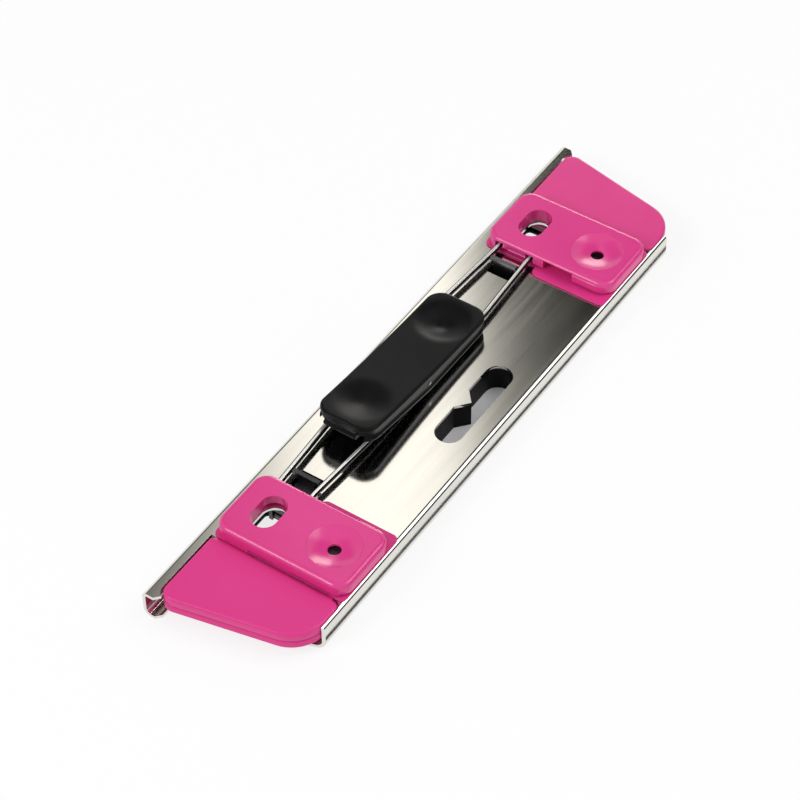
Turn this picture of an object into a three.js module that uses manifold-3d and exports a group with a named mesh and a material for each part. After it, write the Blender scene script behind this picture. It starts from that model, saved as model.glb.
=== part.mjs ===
// A mini hole punch that is kept in a ring binder: a bent steel base with two moulded punch blocks,
// a steel carriage of two rails with a rocking grip on it, and two levers in the base.
// Pressing the grip moves the carriage down, its legs push the inner ends of the levers down,
// and the outer ends push the punches up through the paper into the die plates.
// Millimetres, +Z up, ground at zero, middle of the base at zero in X and Y, front edge towards -Y.

import * as THREE from 'three';
import { mergeVertices } from 'three/addons/utils/BufferGeometryUtils.js';
import Module from 'manifold-3d';

const wasm = await Module();
wasm.setup();

// Fits
const seatGap = 0.05;
const inlayGap = 0.3;
const slipGap = 0.1;
const overrun = 1;

// Steel base: an upside-down tray of sheet, with its long edges turned in underneath
const plateDepth = 28.1;
const plateHeight = 5.3;
const sheetThickness = 0.6;
const bendRadius = 0.9;
const flangeWidth = 3;
const cornerTabDepth = 2.15;
const cornerStepLength = 1.6;
const cornerStepDepth = 1.4;
const frontRimInset = 10;

// Lines that the paper and the binder's rings set, from the rear edge and from the front edge
const holePitch = 80;
const paperMargin = 12;
const ringLineInset = 8.5;
const punchLineInset = 6.9;

// Ring holes, long along X
const ringHoleLength = 7.1;
const ringHoleWidth = 4.6;
const coverHoleLength = 9.8;
const coverHoleWidth = 8.5;
const coverHoleRadius = 0.8;

// Centre cut-out with its pointed paper mark, and the wall of the well under it
const cutoutLength = 20;
const cutoutWidth = 5;
const cutoutInset = 6.5;
const markWidth = 4.6;
const markLength = 2;
const wellWallThickness = 0.8;

// Windows in the plate for the carriage's legs
const windowLength = 4;
const windowWidth = 4.4;

// Punch blocks, across each ring hole
const blockInnerOffset = 6.95;
const blockOuterOffset = 6.9;
const blockHeight = 2.92;
const blockFrontInset = 0.4;
const blockRearInset = 2.3;
const blockCornerRadius = 2.7;
const blockEdgeRadius = 0.8;
const dimpleDiameter = 9.3;
const dimpleDepth = 1.1;
const peepDiameter = 3;

// Chad way inside a block
const chadRoomDiameter = 6.2;
const chadRoomHeight = 0.35;
const chadWindowOffset = 0.9;
const chadWindowLength = 5.9;
const chadWindowHeight = 2.4;
const chadWindowDepth = 2.4;

// Rail notches and the arch between them
const notchHeight = 2.2;
const notchGap = 0.3;
const archHeight = 1.2;
const archWidth = 4.8;

// Paper bed and slot
const bedThickness = 0.3;
const bedCornerRadius = 1.2;
const footWidth = 1.95;
const footOffset = 4.5;
const slotHeight = 0.45;

// End pads, whose length sets the length of the base
const padOffset = 7.3;
const padLength = 13.3;
const padHeight = 0.3;
const padDepth = 3.2;
const padRearInset = 2.4;
const padFrontInset = 0.65;
const padEndInset = 1.9;
const padEndSlopeShare = 0.21;
const padRearCornerRadius = 2;
const padFrontCornerRadius = 6.5;
const padInnerCornerRadius = 1.5;
const padEdgeRadius = 0.4;
const tongueOffset = 4.2;
const tongueLapLength = 1.2;
const tongueFrontInset = 0.35;

// Punches and dies
const punchDiameter = 5.5;
const punchSinkDepth = 0.15;
const collarDiameter = 6.6;
const collarThickness = 0.5;
const footDiameter = 2.4;
const footLength = 0.7;
const dieThickness = 0.4;
const dieWidth = 7.8;
const dieCornerRadius = 1;

// Levers, their pins and brackets, measured from the pivot pin
const punchArmLength = 5;
const legArmLength = 5.3;
const pivotDepth = 3.2;
const leverThickness = 0.6;
const leverInnerLength = 6.3;
const leverOuterLength = 7.6;
const leverInnerWidth = 4;
const leverOuterWidth = 5.5;
const leverLinkOffset = 1.5;
const leverLinkWidth = 1.6;
const knuckleDiameter = 2.2;
const pivotPinDiameter = 1;
const pivotPinGap = 0.08;
const pivotPinOverhang = 0.2;
const earThickness = 0.7;
const earGap = 0.2;
const earWidth = 2.8;
const earDepth = 0.9;
const strapThickness = 0.6;
const strapWidth = 3.2;
const strapFrontInset = 1.2;
const strapRearInset = 2.4;

// Carriage: rails, legs and grip carrier
const railClearance = 1.2;
const railHeight = 0.6;
const railThickness = 1;
const railEndSpacing = 6.2;
const railMiddleSpacing = 7.8;
const railInsertLength = 1.75;
const railBendInset = 1.05;
const railMiddleLength = 36;
const legThickness = 0.8;
const legWidth = 3.6;
const legBarWidth = 5.2;
const legTipGap = 0.2;
const hookLength = 2.2;
const hookGap = 0.2;
const hookThickness = 0.7;
const keelLength = 21.2;
const keelWidth = 6.4;
const saddleLength = 12;
const saddleWidth = 9;
const saddleThickness = 0.2;

// Grip, which rocks on a cross pin
const gripOffsetX = -2.1;
const gripOffsetY = -0.35;
const gripLength = 36.7;
const gripWidth = 11.2;
const gripCornerRadius = 3;
const gripTopHeight = 4.8;
const gripClearance = 0.95;
const gripEndHeight = 0.5;
const gripEdgeRadius = 0.6;
const gripEndRadius = 0.9;
const gripHeelRadius = 1.2;
const gripWallThickness = 0.7;
const gripRoofThickness = 1.4;
const gripHollowLength = 28;
const gripNotchGap = 0.15;
const gripPinHeight = 2.5;
const gripPinDiameter = 0.7;
const gripPinInsertLength = 0.5;
const gripEarWidth = 2.2;
const gripEarHeight = 0.55;
const gripEarOffset = 2;
const gripEarThickness = 0.9;
const thumbDiameter = 9.6;
const thumbDepth = 0.9;
const thumbOffset = 12;
const gripRock = THREE.MathUtils.degToRad(4.45);

// Return springs
const springOffset = 8;
const springDiameter = 3.6;
const springWireDiameter = 0.5;
const springHoleDiameter = 5;
const springPostDiameter = 2.2;
const springPostHeight = 2;
const springCurls = 5;

// Bottom cover, which lies between the turned-in edges and laps over them
const coverThickness = 0.45;
const coverEndLength = 0.2;
const coverLapWidth = 1.5;
const coverLapThickness = 0.4;

// Screws and rivets
const screwDiameter = 1.4;
const screwHeadDiameter = 2.6;
const screwHeadHeight = 0.6;
const screwReach = 1.9;
const screwInnerOffset = 0.3;
const screwOuterOffset = 5.3;
const screwLineInset = 3.5;
const rivetDiameter = 1.2;
const rivetHeadDiameter = 2;
const rivetHeadHeight = 0.4;
const padRivetOffset = 5.9;
const padRivetInset = 5.1;
const strapRivetInset = 2.15;

// Counts
const roundSides = 32;
const pinSides = 16;
const cornerSteps = 5;
const edgeSteps = 3;
const dishRings = 5;
const springSteps = 8;
const springSides = 5;
const sides = [
  { name: 'left', sign: -1 },
  { name: 'right', sign: 1 },
];

// Levels and lines worked out from the sizes above
const halfDepth = plateDepth / 2;
const plateTop = plateHeight;
const plateUnder = plateTop - sheetThickness;
const ringY = halfDepth - ringLineInset;
const punchY = -halfDepth + punchLineInset;
const stopY = punchY + paperMargin;
const screwY = halfDepth - screwLineInset;
const frontY = -halfDepth + blockFrontInset;
const rearY = halfDepth - blockRearInset;
const holeX = holePitch / 2;
const pivotX = holeX - punchArmLength;
const windowX = pivotX - legArmLength;
const blockInX = holeX - blockInnerOffset;
const blockOutX = holeX + blockOuterOffset;
const padInX = holeX + padOffset;
const halfLength = padInX + padLength + padEndInset;
const screwInnerX = pivotX + screwInnerOffset;
const screwOuterX = holeX + screwOuterOffset;
const padRivetX = holeX + padRivetOffset;
const bedTop = plateTop + bedThickness;
const slotTop = bedTop + slotHeight;
const dieTop = slotTop + dieThickness;
const blockTop = plateTop + blockHeight;
const pivotZ = plateTop - pivotDepth;
const leverTop = pivotZ + leverThickness / 2;
const leverUnder = pivotZ - leverThickness / 2;
const leverFrontY = punchY - leverOuterWidth / 2;
const leverRearY = ringY + leverInnerWidth / 2;
const earFrontY = [leverFrontY - earGap - earThickness, leverFrontY - earGap];
const earRearY = [leverRearY + earGap, leverRearY + earGap + earThickness];
const railUnder = plateTop + railClearance;
const railTop = railUnder + railHeight;
const gripPinZ = plateTop + gripPinHeight;
const gripY = ringY + gripOffsetY;
const gripPinHalf = gripWidth / 2 - gripWallThickness + gripPinInsertLength;
const strapUnder = plateUnder - seatGap - strapThickness;
const tongueUnder = plateTop - padDepth;

const steel = new THREE.MeshStandardMaterial({ color: 0xc9c6bf, metalness: 1, roughness: 0.2 });
const darkSteel = new THREE.MeshStandardMaterial({ color: 0x8d8d90, metalness: 1, roughness: 0.35 });
const pink = new THREE.MeshStandardMaterial({ color: 0xd93e86, metalness: 0, roughness: 0.35 });
const black = new THREE.MeshStandardMaterial({ color: 0x141416, metalness: 0, roughness: 0.45 });

const punch = new THREE.Group();

// A closed three.js geometry as a solid that can be joined and cut
function solid(geometry) {
  const bare = geometry.clone();
  bare.deleteAttribute('normal');
  bare.deleteAttribute('uv');
  const merged = mergeVertices(bare);
  const vertProperties = new Float32Array(merged.attributes.position.array);
  const triVerts = new Uint32Array(merged.index.array);
  return new wasm.Manifold(new wasm.Mesh({ numProp: 3, vertProperties, triVerts }));
}

// Adds a finished solid to the group as a named mesh
function addPiece(name, body, material) {
  const mesh = body.getMesh();
  const geometry = new THREE.BufferGeometry();
  geometry.setAttribute('position', new THREE.BufferAttribute(mesh.vertProperties, 3));
  geometry.setIndex(new THREE.BufferAttribute(mesh.triVerts, 1));
  geometry.computeVertexNormals();
  const piece = new THREE.Mesh(geometry, material);
  piece.name = name;
  punch.add(piece);
  return piece;
}

function joined(first, ...others) {
  return others.reduce((whole, other) => whole.add(other), first);
}

function cut(first, ...others) {
  return others.reduce((whole, other) => whole.subtract(other), first);
}

// A box between two corners, whose ends may come in either order
function block([xa, xb], [ya, yb], [za, zb]) {
  const box = new THREE.BoxGeometry(Math.abs(xb - xa), Math.abs(yb - ya), Math.abs(zb - za));
  box.translate((xa + xb) / 2, (ya + yb) / 2, (za + zb) / 2);
  return solid(box);
}

function upright(x, y, radius, [za, zb], count) {
  const rod = new THREE.CylinderGeometry(radius, radius, zb - za, count);
  rod.rotateX(Math.PI / 2);
  rod.translate(x, y, (za + zb) / 2);
  return solid(rod);
}

function crosswise(x, z, radius, [ya, yb], count) {
  const rod = new THREE.CylinderGeometry(radius, radius, yb - ya, count);
  rod.translate(x, (ya + yb) / 2, z);
  return solid(rod);
}

// An outline whose corners [x, y, radius] are rounded by arcs
function rounded(corners) {
  const outline = [];
  corners.forEach(([x, y, radius], i) => {
    const before = corners[(i + corners.length - 1) % corners.length];
    const after = corners[(i + 1) % corners.length];
    const here = new THREE.Vector2(x, y);
    if (!radius) {
      outline.push(here);
      return;
    }
    const back = new THREE.Vector2(before[0], before[1]).sub(here).normalize();
    const ahead = new THREE.Vector2(after[0], after[1]).sub(here).normalize();
    const half = Math.acos(THREE.MathUtils.clamp(back.dot(ahead), -1, 1)) / 2;
    const middle = back.clone().add(ahead).normalize();
    const centre = here.clone().addScaledVector(middle, radius / Math.sin(half));
    const start = here.clone().addScaledVector(back, radius / Math.tan(half)).sub(centre);
    const end = here.clone().addScaledVector(ahead, radius / Math.tan(half)).sub(centre);
    const turn = Math.atan2(start.cross(end), start.dot(end));
    for (let step = 0; step <= cornerSteps; step += 1) {
      const arm = start.clone().rotateAround(new THREE.Vector2(), turn * (step / cornerSteps));
      outline.push(centre.clone().add(arm));
    }
  });
  return new THREE.Shape(outline);
}

// A slot outline with round ends, long along X
function obround(x, y, length, width) {
  const shape = new THREE.Shape();
  const run = (length - width) / 2;
  shape.absarc(x + run, y, width / 2, -Math.PI / 2, Math.PI / 2);
  shape.absarc(x - run, y, width / 2, Math.PI / 2, Math.PI * 1.5);
  return shape;
}

// An outline in plan made into a slab between two heights
function slab(shape, [za, zb]) {
  const geometry = new THREE.ExtrudeGeometry(shape, {
    depth: zb - za,
    bevelEnabled: false,
    curveSegments: roundSides / 2,
  });
  geometry.translate(0, 0, za);
  return solid(geometry);
}

// The same with its top edge rounded
function softSlab(shape, [za, zb], edge) {
  const geometry = new THREE.ExtrudeGeometry(shape, {
    depth: zb - za + overrun,
    bevelEnabled: true,
    bevelThickness: edge,
    bevelSize: edge,
    bevelOffset: -edge,
    bevelSegments: edgeSteps,
    curveSegments: roundSides / 2,
  });
  geometry.translate(0, 0, za - overrun - edge);
  const far = halfLength * 2;
  return solid(geometry).subtract(block([-far, far], [-far, far], [za - overrun * 3 - edge, za]));
}

// A round dish, deepest in its middle, that opens upwards
function dish(x, y, z, diameter, depth) {
  const rim = diameter / 2;
  const ball = (rim * rim + depth * depth) / (2 * depth);
  const profile = [new THREE.Vector2(0, overrun)];
  profile.unshift(new THREE.Vector2(rim, overrun));
  for (let ring = dishRings; ring > 0; ring -= 1) {
    const out = (rim * ring) / dishRings;
    profile.unshift(new THREE.Vector2(out, ball - depth - Math.sqrt(ball * ball - out * out)));
  }
  profile.unshift(new THREE.Vector2(0, -depth));
  const geometry = new THREE.LatheGeometry(profile, roundSides);
  geometry.rotateX(Math.PI / 2);
  geometry.translate(x, y, z);
  return solid(geometry);
}

// Steel base

function padEnd(y) {
  return padInX + padLength + padEndSlopeShare * (y - ringY);
}

function padOutline(sign, sideGrow, frontGrow) {
  const rear = halfDepth - padRearInset + sideGrow;
  const front = -halfDepth + padFrontInset - frontGrow;
  const frontRadius = Math.min(padFrontCornerRadius, padEnd(front) - padInX - padInnerCornerRadius);
  return rounded([
    [sign * (padInX - sideGrow), rear, 0],
    [sign * (padEnd(rear) + sideGrow), rear, padRearCornerRadius],
    [sign * (padEnd(front) + sideGrow), front, frontRadius],
    [sign * (padInX - sideGrow), front, padInnerCornerRadius],
  ]);
}

// The centre cut-out as a solid, with the pointed mark left standing in its rear side
function cutoutSolid(inset, span) {
  const y = -halfDepth + cutoutInset;
  const rear = y + cutoutWidth / 2 + overrun;
  const tip = y + cutoutWidth / 2 - inset - markLength;
  const spread = (markWidth / 2) * ((markLength + overrun) / markLength);
  const hole = slab(obround(0, y, cutoutLength - 2 * inset, cutoutWidth - 2 * inset), span);
  const mark = slab(rounded([[-spread - inset, rear, 0], [0, tip, 0], [spread + inset, rear, 0]]), [
    span[0] - overrun,
    span[1] + overrun,
  ]);
  return hole.subtract(mark);
}

function buildPlate() {
  const half = halfDepth;
  const section = (grow, radius) => rounded([
    [-half - grow, -grow, radius],
    [half + grow, -grow, radius],
    [half + grow, plateTop + grow, radius],
    [-half - grow, plateTop + grow, radius],
  ]);
  const alongX = new THREE.Matrix4().makeBasis(
    new THREE.Vector3(0, 1, 0),
    new THREE.Vector3(0, 0, 1),
    new THREE.Vector3(1, 0, 0),
  );
  const bar = (shape, length) => {
    const geometry = new THREE.ExtrudeGeometry(shape, { depth: length, bevelEnabled: false });
    geometry.translate(0, 0, -length / 2);
    geometry.applyMatrix4(alongX);
    return solid(geometry);
  };
  const outer = bar(section(0, bendRadius), halfLength * 2);
  const inner = bar(section(-sheetThickness, bendRadius - sheetThickness), halfLength * 2 + overrun);
  const open = half - flangeWidth;
  const mouth = block(
    [-halfLength - overrun, halfLength + overrun],
    [-open, open],
    [-overrun, sheetThickness + overrun],
  );
  const rearCorner = half - cornerTabDepth;
  const stepCorner = [halfLength - cornerStepLength, rearCorner - cornerStepDepth, 0];
  const frontCorner = halfLength - frontRimInset;
  const plan = slab(rounded([
    [halfLength, half + overrun, 0],
    [halfLength, rearCorner, 0],
    stepCorner,
    [frontCorner, -half, 0],
    [frontCorner, -half - overrun, 0],
    [-frontCorner, -half - overrun, 0],
    [-frontCorner, -half, 0],
    [-stepCorner[0], stepCorner[1], 0],
    [-halfLength, rearCorner, 0],
    [-halfLength, half + overrun, 0],
  ]), [-overrun, plateTop + overrun]);
  const through = [plateUnder - overrun, plateTop + overrun];
  let plate = cut(outer, inner, mouth).intersect(plan);
  plate = cut(plate, cutoutSolid(0, through));
  for (const { sign } of sides) {
    const windowSpan = [sign * (windowX - windowLength / 2), sign * (windowX + windowLength / 2)];
    plate = cut(
      plate,
      slab(padOutline(sign, inlayGap, slipGap), through),
      block(windowSpan, [ringY - windowWidth / 2, ringY + windowWidth / 2], through),
      slab(obround(sign * holeX, ringY, ringHoleLength, ringHoleWidth), through),
      upright(sign * holeX, punchY, punchDiameter / 2 + slipGap, through, roundSides),
      upright(sign * springOffset, ringY, springHoleDiameter / 2, through, roundSides),
      upright(sign * screwInnerX, screwY, screwDiameter / 2 + slipGap, through, pinSides),
      upright(sign * screwOuterX, screwY, screwDiameter / 2 + slipGap, through, pinSides),
      upright(sign * padRivetX, -halfDepth + padRivetInset, rivetDiameter / 2 + slipGap, through, pinSides),
      upright(sign * pivotX, -halfDepth + strapRivetInset, rivetDiameter / 2 + slipGap, through, pinSides),
    );
  }
  addPiece('base_plate', plate, steel);
}

// End pads, let into the steel and held by a tongue under it

function buildPad({ name, sign }) {
  const top = softSlab(padOutline(sign, 0, 0), [tongueUnder, plateTop + padHeight], padEdgeRadius);
  const tongue = block(
    [sign * (holeX + tongueOffset), sign * (padInX + tongueLapLength)],
    [-halfDepth + padFrontInset + tongueFrontInset, halfDepth - padRearInset],
    [tongueUnder, plateUnder - seatGap],
  );
  const through = [tongueUnder - overrun, plateTop];
  const pad = cut(
    joined(top, tongue),
    upright(sign * screwOuterX, screwY, screwDiameter / 2 + slipGap, through, pinSides),
    upright(sign * padRivetX, -halfDepth + padRivetInset, rivetDiameter / 2 + slipGap, through, pinSides),
  );
  addPiece(`end_pad_${name}`, pad, pink);
}

// Paper beds, thin plates on the steel that the paper slides over

function buildBed({ name, sign }) {
  const outer = padInX - inlayGap;
  const inner = blockInX - footWidth;
  const footRear = ringY - footOffset;
  const outline = rounded([
    [sign * inner, frontY, bedCornerRadius],
    [sign * outer, frontY, bedCornerRadius],
    [sign * outer, rearY, bedCornerRadius],
    [sign * blockInX, rearY, bedCornerRadius],
    [sign * blockInX, footRear, 0],
    [sign * inner, footRear, bedCornerRadius],
  ]);
  const through = [plateTop - overrun, bedTop + overrun];
  const bed = cut(
    slab(outline, [plateTop + seatGap, bedTop]),
    slab(obround(sign * holeX, ringY, ringHoleLength, ringHoleWidth), through),
    upright(sign * holeX, punchY, punchDiameter / 2 + slipGap, through, roundSides),
    upright(sign * screwInnerX, screwY, screwDiameter / 2 + slipGap, through, pinSides),
    upright(sign * screwOuterX, screwY, screwDiameter / 2 + slipGap, through, pinSides),
  );
  addPiece(`paper_bed_${name}`, bed, pink);
}

// Punch blocks: solid behind the paper stop, open under their front for the paper

function buildBlock({ name, sign }) {
  const outline = rounded([
    [sign * blockInX, frontY, blockCornerRadius],
    [sign * blockOutX, frontY, blockCornerRadius],
    [sign * blockOutX, rearY, blockCornerRadius],
    [sign * blockInX, rearY, blockCornerRadius],
  ]);
  const floor = bedTop + seatGap;
  const inside = sign * (blockInX - overrun);
  const outside = sign * (blockOutX + overrun);
  const through = [floor - overrun, blockTop + overrun];
  const railHalf = railThickness / 2 + notchGap;
  const notch = (y) => block(
    [inside, sign * (blockInX + railInsertLength + notchGap)],
    [y - railHalf, y + railHalf],
    [floor - overrun, plateTop + notchHeight],
  );
  const dieHalf = dieWidth / 2 + slipGap;
  const chadRoom = [dieTop, dieTop + chadRoomHeight];
  const chadY = [punchY + chadWindowOffset, punchY + chadWindowOffset + chadWindowLength];
  const screwRoom = [floor - overrun, plateTop + screwReach + slipGap];
  const body = cut(
    softSlab(outline, [floor, blockTop], blockEdgeRadius),
    block([inside, outside], [frontY - overrun, stopY], [floor - overrun, slotTop]),
    slab(obround(sign * holeX, ringY, ringHoleLength, ringHoleWidth), through),
    block(
      [inside, sign * holeX],
      [ringY - archWidth / 2, ringY + archWidth / 2],
      [floor - overrun, plateTop + archHeight],
    ),
    notch(ringY - railEndSpacing / 2),
    notch(ringY + railEndSpacing / 2),
    block(
      [sign * holeX - dieHalf, sign * holeX + dieHalf],
      [punchY - dieHalf, punchY + dieHalf],
      [floor - overrun, dieTop + seatGap],
    ),
    upright(sign * holeX, punchY, chadRoomDiameter / 2, [floor, chadRoom[1]], roundSides),
    block(
      [inside, sign * (blockInX + chadWindowDepth)],
      chadY,
      [slotTop - slipGap, plateTop + chadWindowHeight],
    ),
    block([inside, sign * holeX], [chadY[0], punchY + dieHalf], chadRoom),
    dish(sign * holeX, punchY, blockTop, dimpleDiameter, dimpleDepth),
    upright(sign * holeX, punchY, peepDiameter / 2, [dieTop, blockTop + overrun], roundSides),
    upright(sign * screwInnerX, screwY, screwDiameter / 2 + slipGap, screwRoom, pinSides),
    upright(sign * screwOuterX, screwY, screwDiameter / 2 + slipGap, screwRoom, pinSides),
  );
  addPiece(`punch_block_${name}`, body, pink);
}

// Die plates, let into the blocks flush with the roof of the paper slot

function buildDie({ name, sign }) {
  const half = dieWidth / 2;
  const outline = rounded([
    [sign * holeX - half, punchY - half, dieCornerRadius],
    [sign * holeX + half, punchY - half, dieCornerRadius],
    [sign * holeX + half, punchY + half, dieCornerRadius],
    [sign * holeX - half, punchY + half, dieCornerRadius],
  ]);
  const through = [slotTop - overrun, dieTop + overrun];
  const die = cut(
    slab(outline, [slotTop, dieTop]),
    upright(sign * holeX, punchY, punchDiameter / 2 + slipGap, through, roundSides),
  );
  addPiece(`die_plate_${name}`, die, darkSteel);
}

// Punches: a cutting rod, a collar that keeps it in, and a narrow foot on the lever

function buildPunch({ name, sign }) {
  const x = sign * holeX;
  const footUnder = leverTop + slipGap;
  const collarUnder = footUnder + footLength;
  const collarOver = collarUnder + collarThickness;
  const body = joined(
    upright(x, punchY, footDiameter / 2, [footUnder, collarUnder + collarThickness / 2], roundSides),
    upright(x, punchY, collarDiameter / 2, [collarUnder, collarOver], roundSides),
    upright(
      x,
      punchY,
      punchDiameter / 2,
      [collarOver - collarThickness / 2, bedTop - punchSinkDepth],
      roundSides,
    ),
  );
  addPiece(`punch_pin_${name}`, body, darkSteel);
}

// Levers: flat steel with two knuckles on the pivot pin, bent round the ring hole in plan

function buildLever({ name, sign }) {
  const x = (value) => sign * value;
  const flat = [leverUnder, leverTop];
  const rearSpan = [ringY - leverInnerWidth / 2, leverRearY];
  const frontSpan = [leverFrontY, leverFrontY + leverOuterWidth];
  const linkX = pivotX - leverLinkOffset;
  const inner = block([x(pivotX - leverInnerLength), x(pivotX)], rearSpan, flat);
  const link = block([x(linkX - leverLinkWidth), x(linkX)], [frontSpan[0], rearSpan[1]], flat);
  const front = block([x(linkX - leverLinkWidth), x(pivotX + leverOuterLength)], frontSpan, flat);
  const lever = cut(
    joined(
      inner,
      link,
      front,
      crosswise(x(pivotX), pivotZ, knuckleDiameter / 2, rearSpan, pinSides),
      crosswise(x(pivotX), pivotZ, knuckleDiameter / 2, frontSpan, pinSides),
    ),
    crosswise(
      x(pivotX),
      pivotZ,
      pivotPinDiameter / 2 + pivotPinGap,
      [frontSpan[0] - overrun, rearSpan[1] + overrun],
      pinSides,
    ),
  );
  addPiece(`rocker_lever_${name}`, lever, darkSteel);
}

// Brackets: a flat strap under the plate with an ear at each end of the lever's pin

function buildBracket({ name, sign }) {
  const x = sign * pivotX;
  const strapTop = plateUnder - seatGap;
  const strap = block(
    [x - strapWidth / 2, x + strapWidth / 2],
    [-halfDepth + strapFrontInset, halfDepth - strapRearInset],
    [strapUnder, strapTop],
  );
  const ear = (span) => block([x - earWidth / 2, x + earWidth / 2], span, [pivotZ - earDepth, strapTop]);
  const through = [strapUnder - overrun, strapTop + overrun];
  const bracket = cut(
    joined(strap, ear(earFrontY), ear(earRearY)),
    crosswise(
      x,
      pivotZ,
      pivotPinDiameter / 2 + seatGap,
      [earFrontY[0] - overrun, earRearY[1] + overrun],
      pinSides,
    ),
    upright(sign * screwInnerX, screwY, screwDiameter / 2 + slipGap, through, pinSides),
    upright(x, -halfDepth + strapRivetInset, rivetDiameter / 2 + slipGap, through, pinSides),
  );
  addPiece(`lever_bracket_${name}`, bracket, darkSteel);
}

function buildPivotPin({ name, sign }) {
  const span = [earFrontY[0] - pivotPinOverhang, earRearY[1] + pivotPinOverhang];
  const pin = crosswise(sign * pivotX, pivotZ, pivotPinDiameter / 2, span, pinSides);
  addPiece(`pivot_pin_${name}`, pin, darkSteel);
}

// Rails: steel strips that stand further apart under the grip than at the blocks

function buildRail(name, sign) {
  const half = railThickness / 2;
  const stations = [
    [blockInX + railInsertLength, railEndSpacing / 2],
    [blockInX - railBendInset, railEndSpacing / 2],
    [railMiddleLength / 2, railMiddleSpacing / 2],
  ];
  const line = [...stations.map(([x, y]) => [-x, y]), ...stations.reverse()];
  const near = line.map(([x, y]) => [x, ringY + sign * (y - half), 0]);
  const far = line.map(([x, y]) => [x, ringY + sign * (y + half), 0]);
  const outline = rounded([...near, ...far.reverse()]);
  addPiece(name, slab(outline, [railUnder, railTop]), steel);
}

// Leg plates: a bar between the rails, a leg through the plate's window and a hook under the plate

function buildLeg({ name, sign }) {
  const inner = sign * (windowX - legThickness / 2);
  const outer = sign * (windowX + legThickness / 2);
  const tip = leverTop + legTipGap;
  const hookTop = plateUnder - hookGap;
  const leg = joined(
    block([inner, outer], [ringY - legBarWidth / 2, ringY + legBarWidth / 2], [railUnder, railTop]),
    block([inner, outer], [ringY - legWidth / 2, ringY + legWidth / 2], [tip, railTop]),
    block(
      [inner, outer + sign * hookLength],
      [ringY - legWidth / 2, ringY + legWidth / 2],
      [hookTop - hookThickness, hookTop],
    ),
  );
  addPiece(`leg_plate_${name}`, leg, steel);
}

// Grip carrier: a keel between the rails, a saddle over them, and two ears for the grip's pin

function buildCarrier() {
  const saddleUnder = railTop + seatGap;
  const saddleSpan = [gripOffsetX - saddleLength / 2, gripOffsetX + saddleLength / 2];
  const keelSpan = [ringY - keelWidth / 2, ringY + keelWidth / 2];
  const saddle = block(
    saddleSpan,
    [ringY - saddleWidth / 2, ringY + saddleWidth / 2],
    [saddleUnder, saddleUnder + saddleThickness],
  );
  const keel = block([-keelLength / 2, keelLength / 2], keelSpan, [railUnder, saddleUnder]);
  const web = block(saddleSpan, keelSpan, [railUnder, saddleUnder + saddleThickness]);
  const ears = [-1, 1].map((sign) => block(
    [gripOffsetX - gripEarWidth / 2, gripOffsetX + gripEarWidth / 2],
    [ringY + sign * gripEarOffset, ringY + sign * (gripEarOffset + gripEarThickness)],
    [railUnder, gripPinZ + gripEarHeight],
  ));
  const bore = crosswise(
    gripOffsetX,
    gripPinZ,
    gripPinDiameter / 2 + seatGap,
    [ringY - saddleWidth / 2, ringY + saddleWidth / 2],
    pinSides,
  );
  addPiece('grip_carrier', cut(joined(saddle, keel, web, ...ears), bore), darkSteel);
}

// Grip: a hollow moulding with a rocker-shaped lower edge, built level and then tipped on its pin

// Points of X and Z that climb from the middle to both ends as steeply as the grip rocks
function rockerProfile(half, rise, endRadius) {
  const climb = half * Math.tan(gripRock);
  return [[half, rise + climb, endRadius], [0, rise, 0], [-half, rise + climb, endRadius]];
}

// An outline of X and Z around the grip's pin, drawn out along Y
function acrossGrip(shape, width, edge) {
  const geometry = new THREE.ExtrudeGeometry(shape, {
    depth: width - 2 * edge,
    bevelEnabled: edge > 0,
    bevelThickness: edge,
    bevelSize: edge,
    bevelOffset: -edge,
    bevelSegments: edgeSteps,
  });
  geometry.translate(0, 0, edge - width / 2);
  const turn = new THREE.Matrix4().makeBasis(
    new THREE.Vector3(1, 0, 0),
    new THREE.Vector3(0, 0, 1),
    new THREE.Vector3(0, -1, 0),
  );
  geometry.applyMatrix4(turn);
  geometry.translate(0, gripY, 0);
  return solid(geometry);
}

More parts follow.
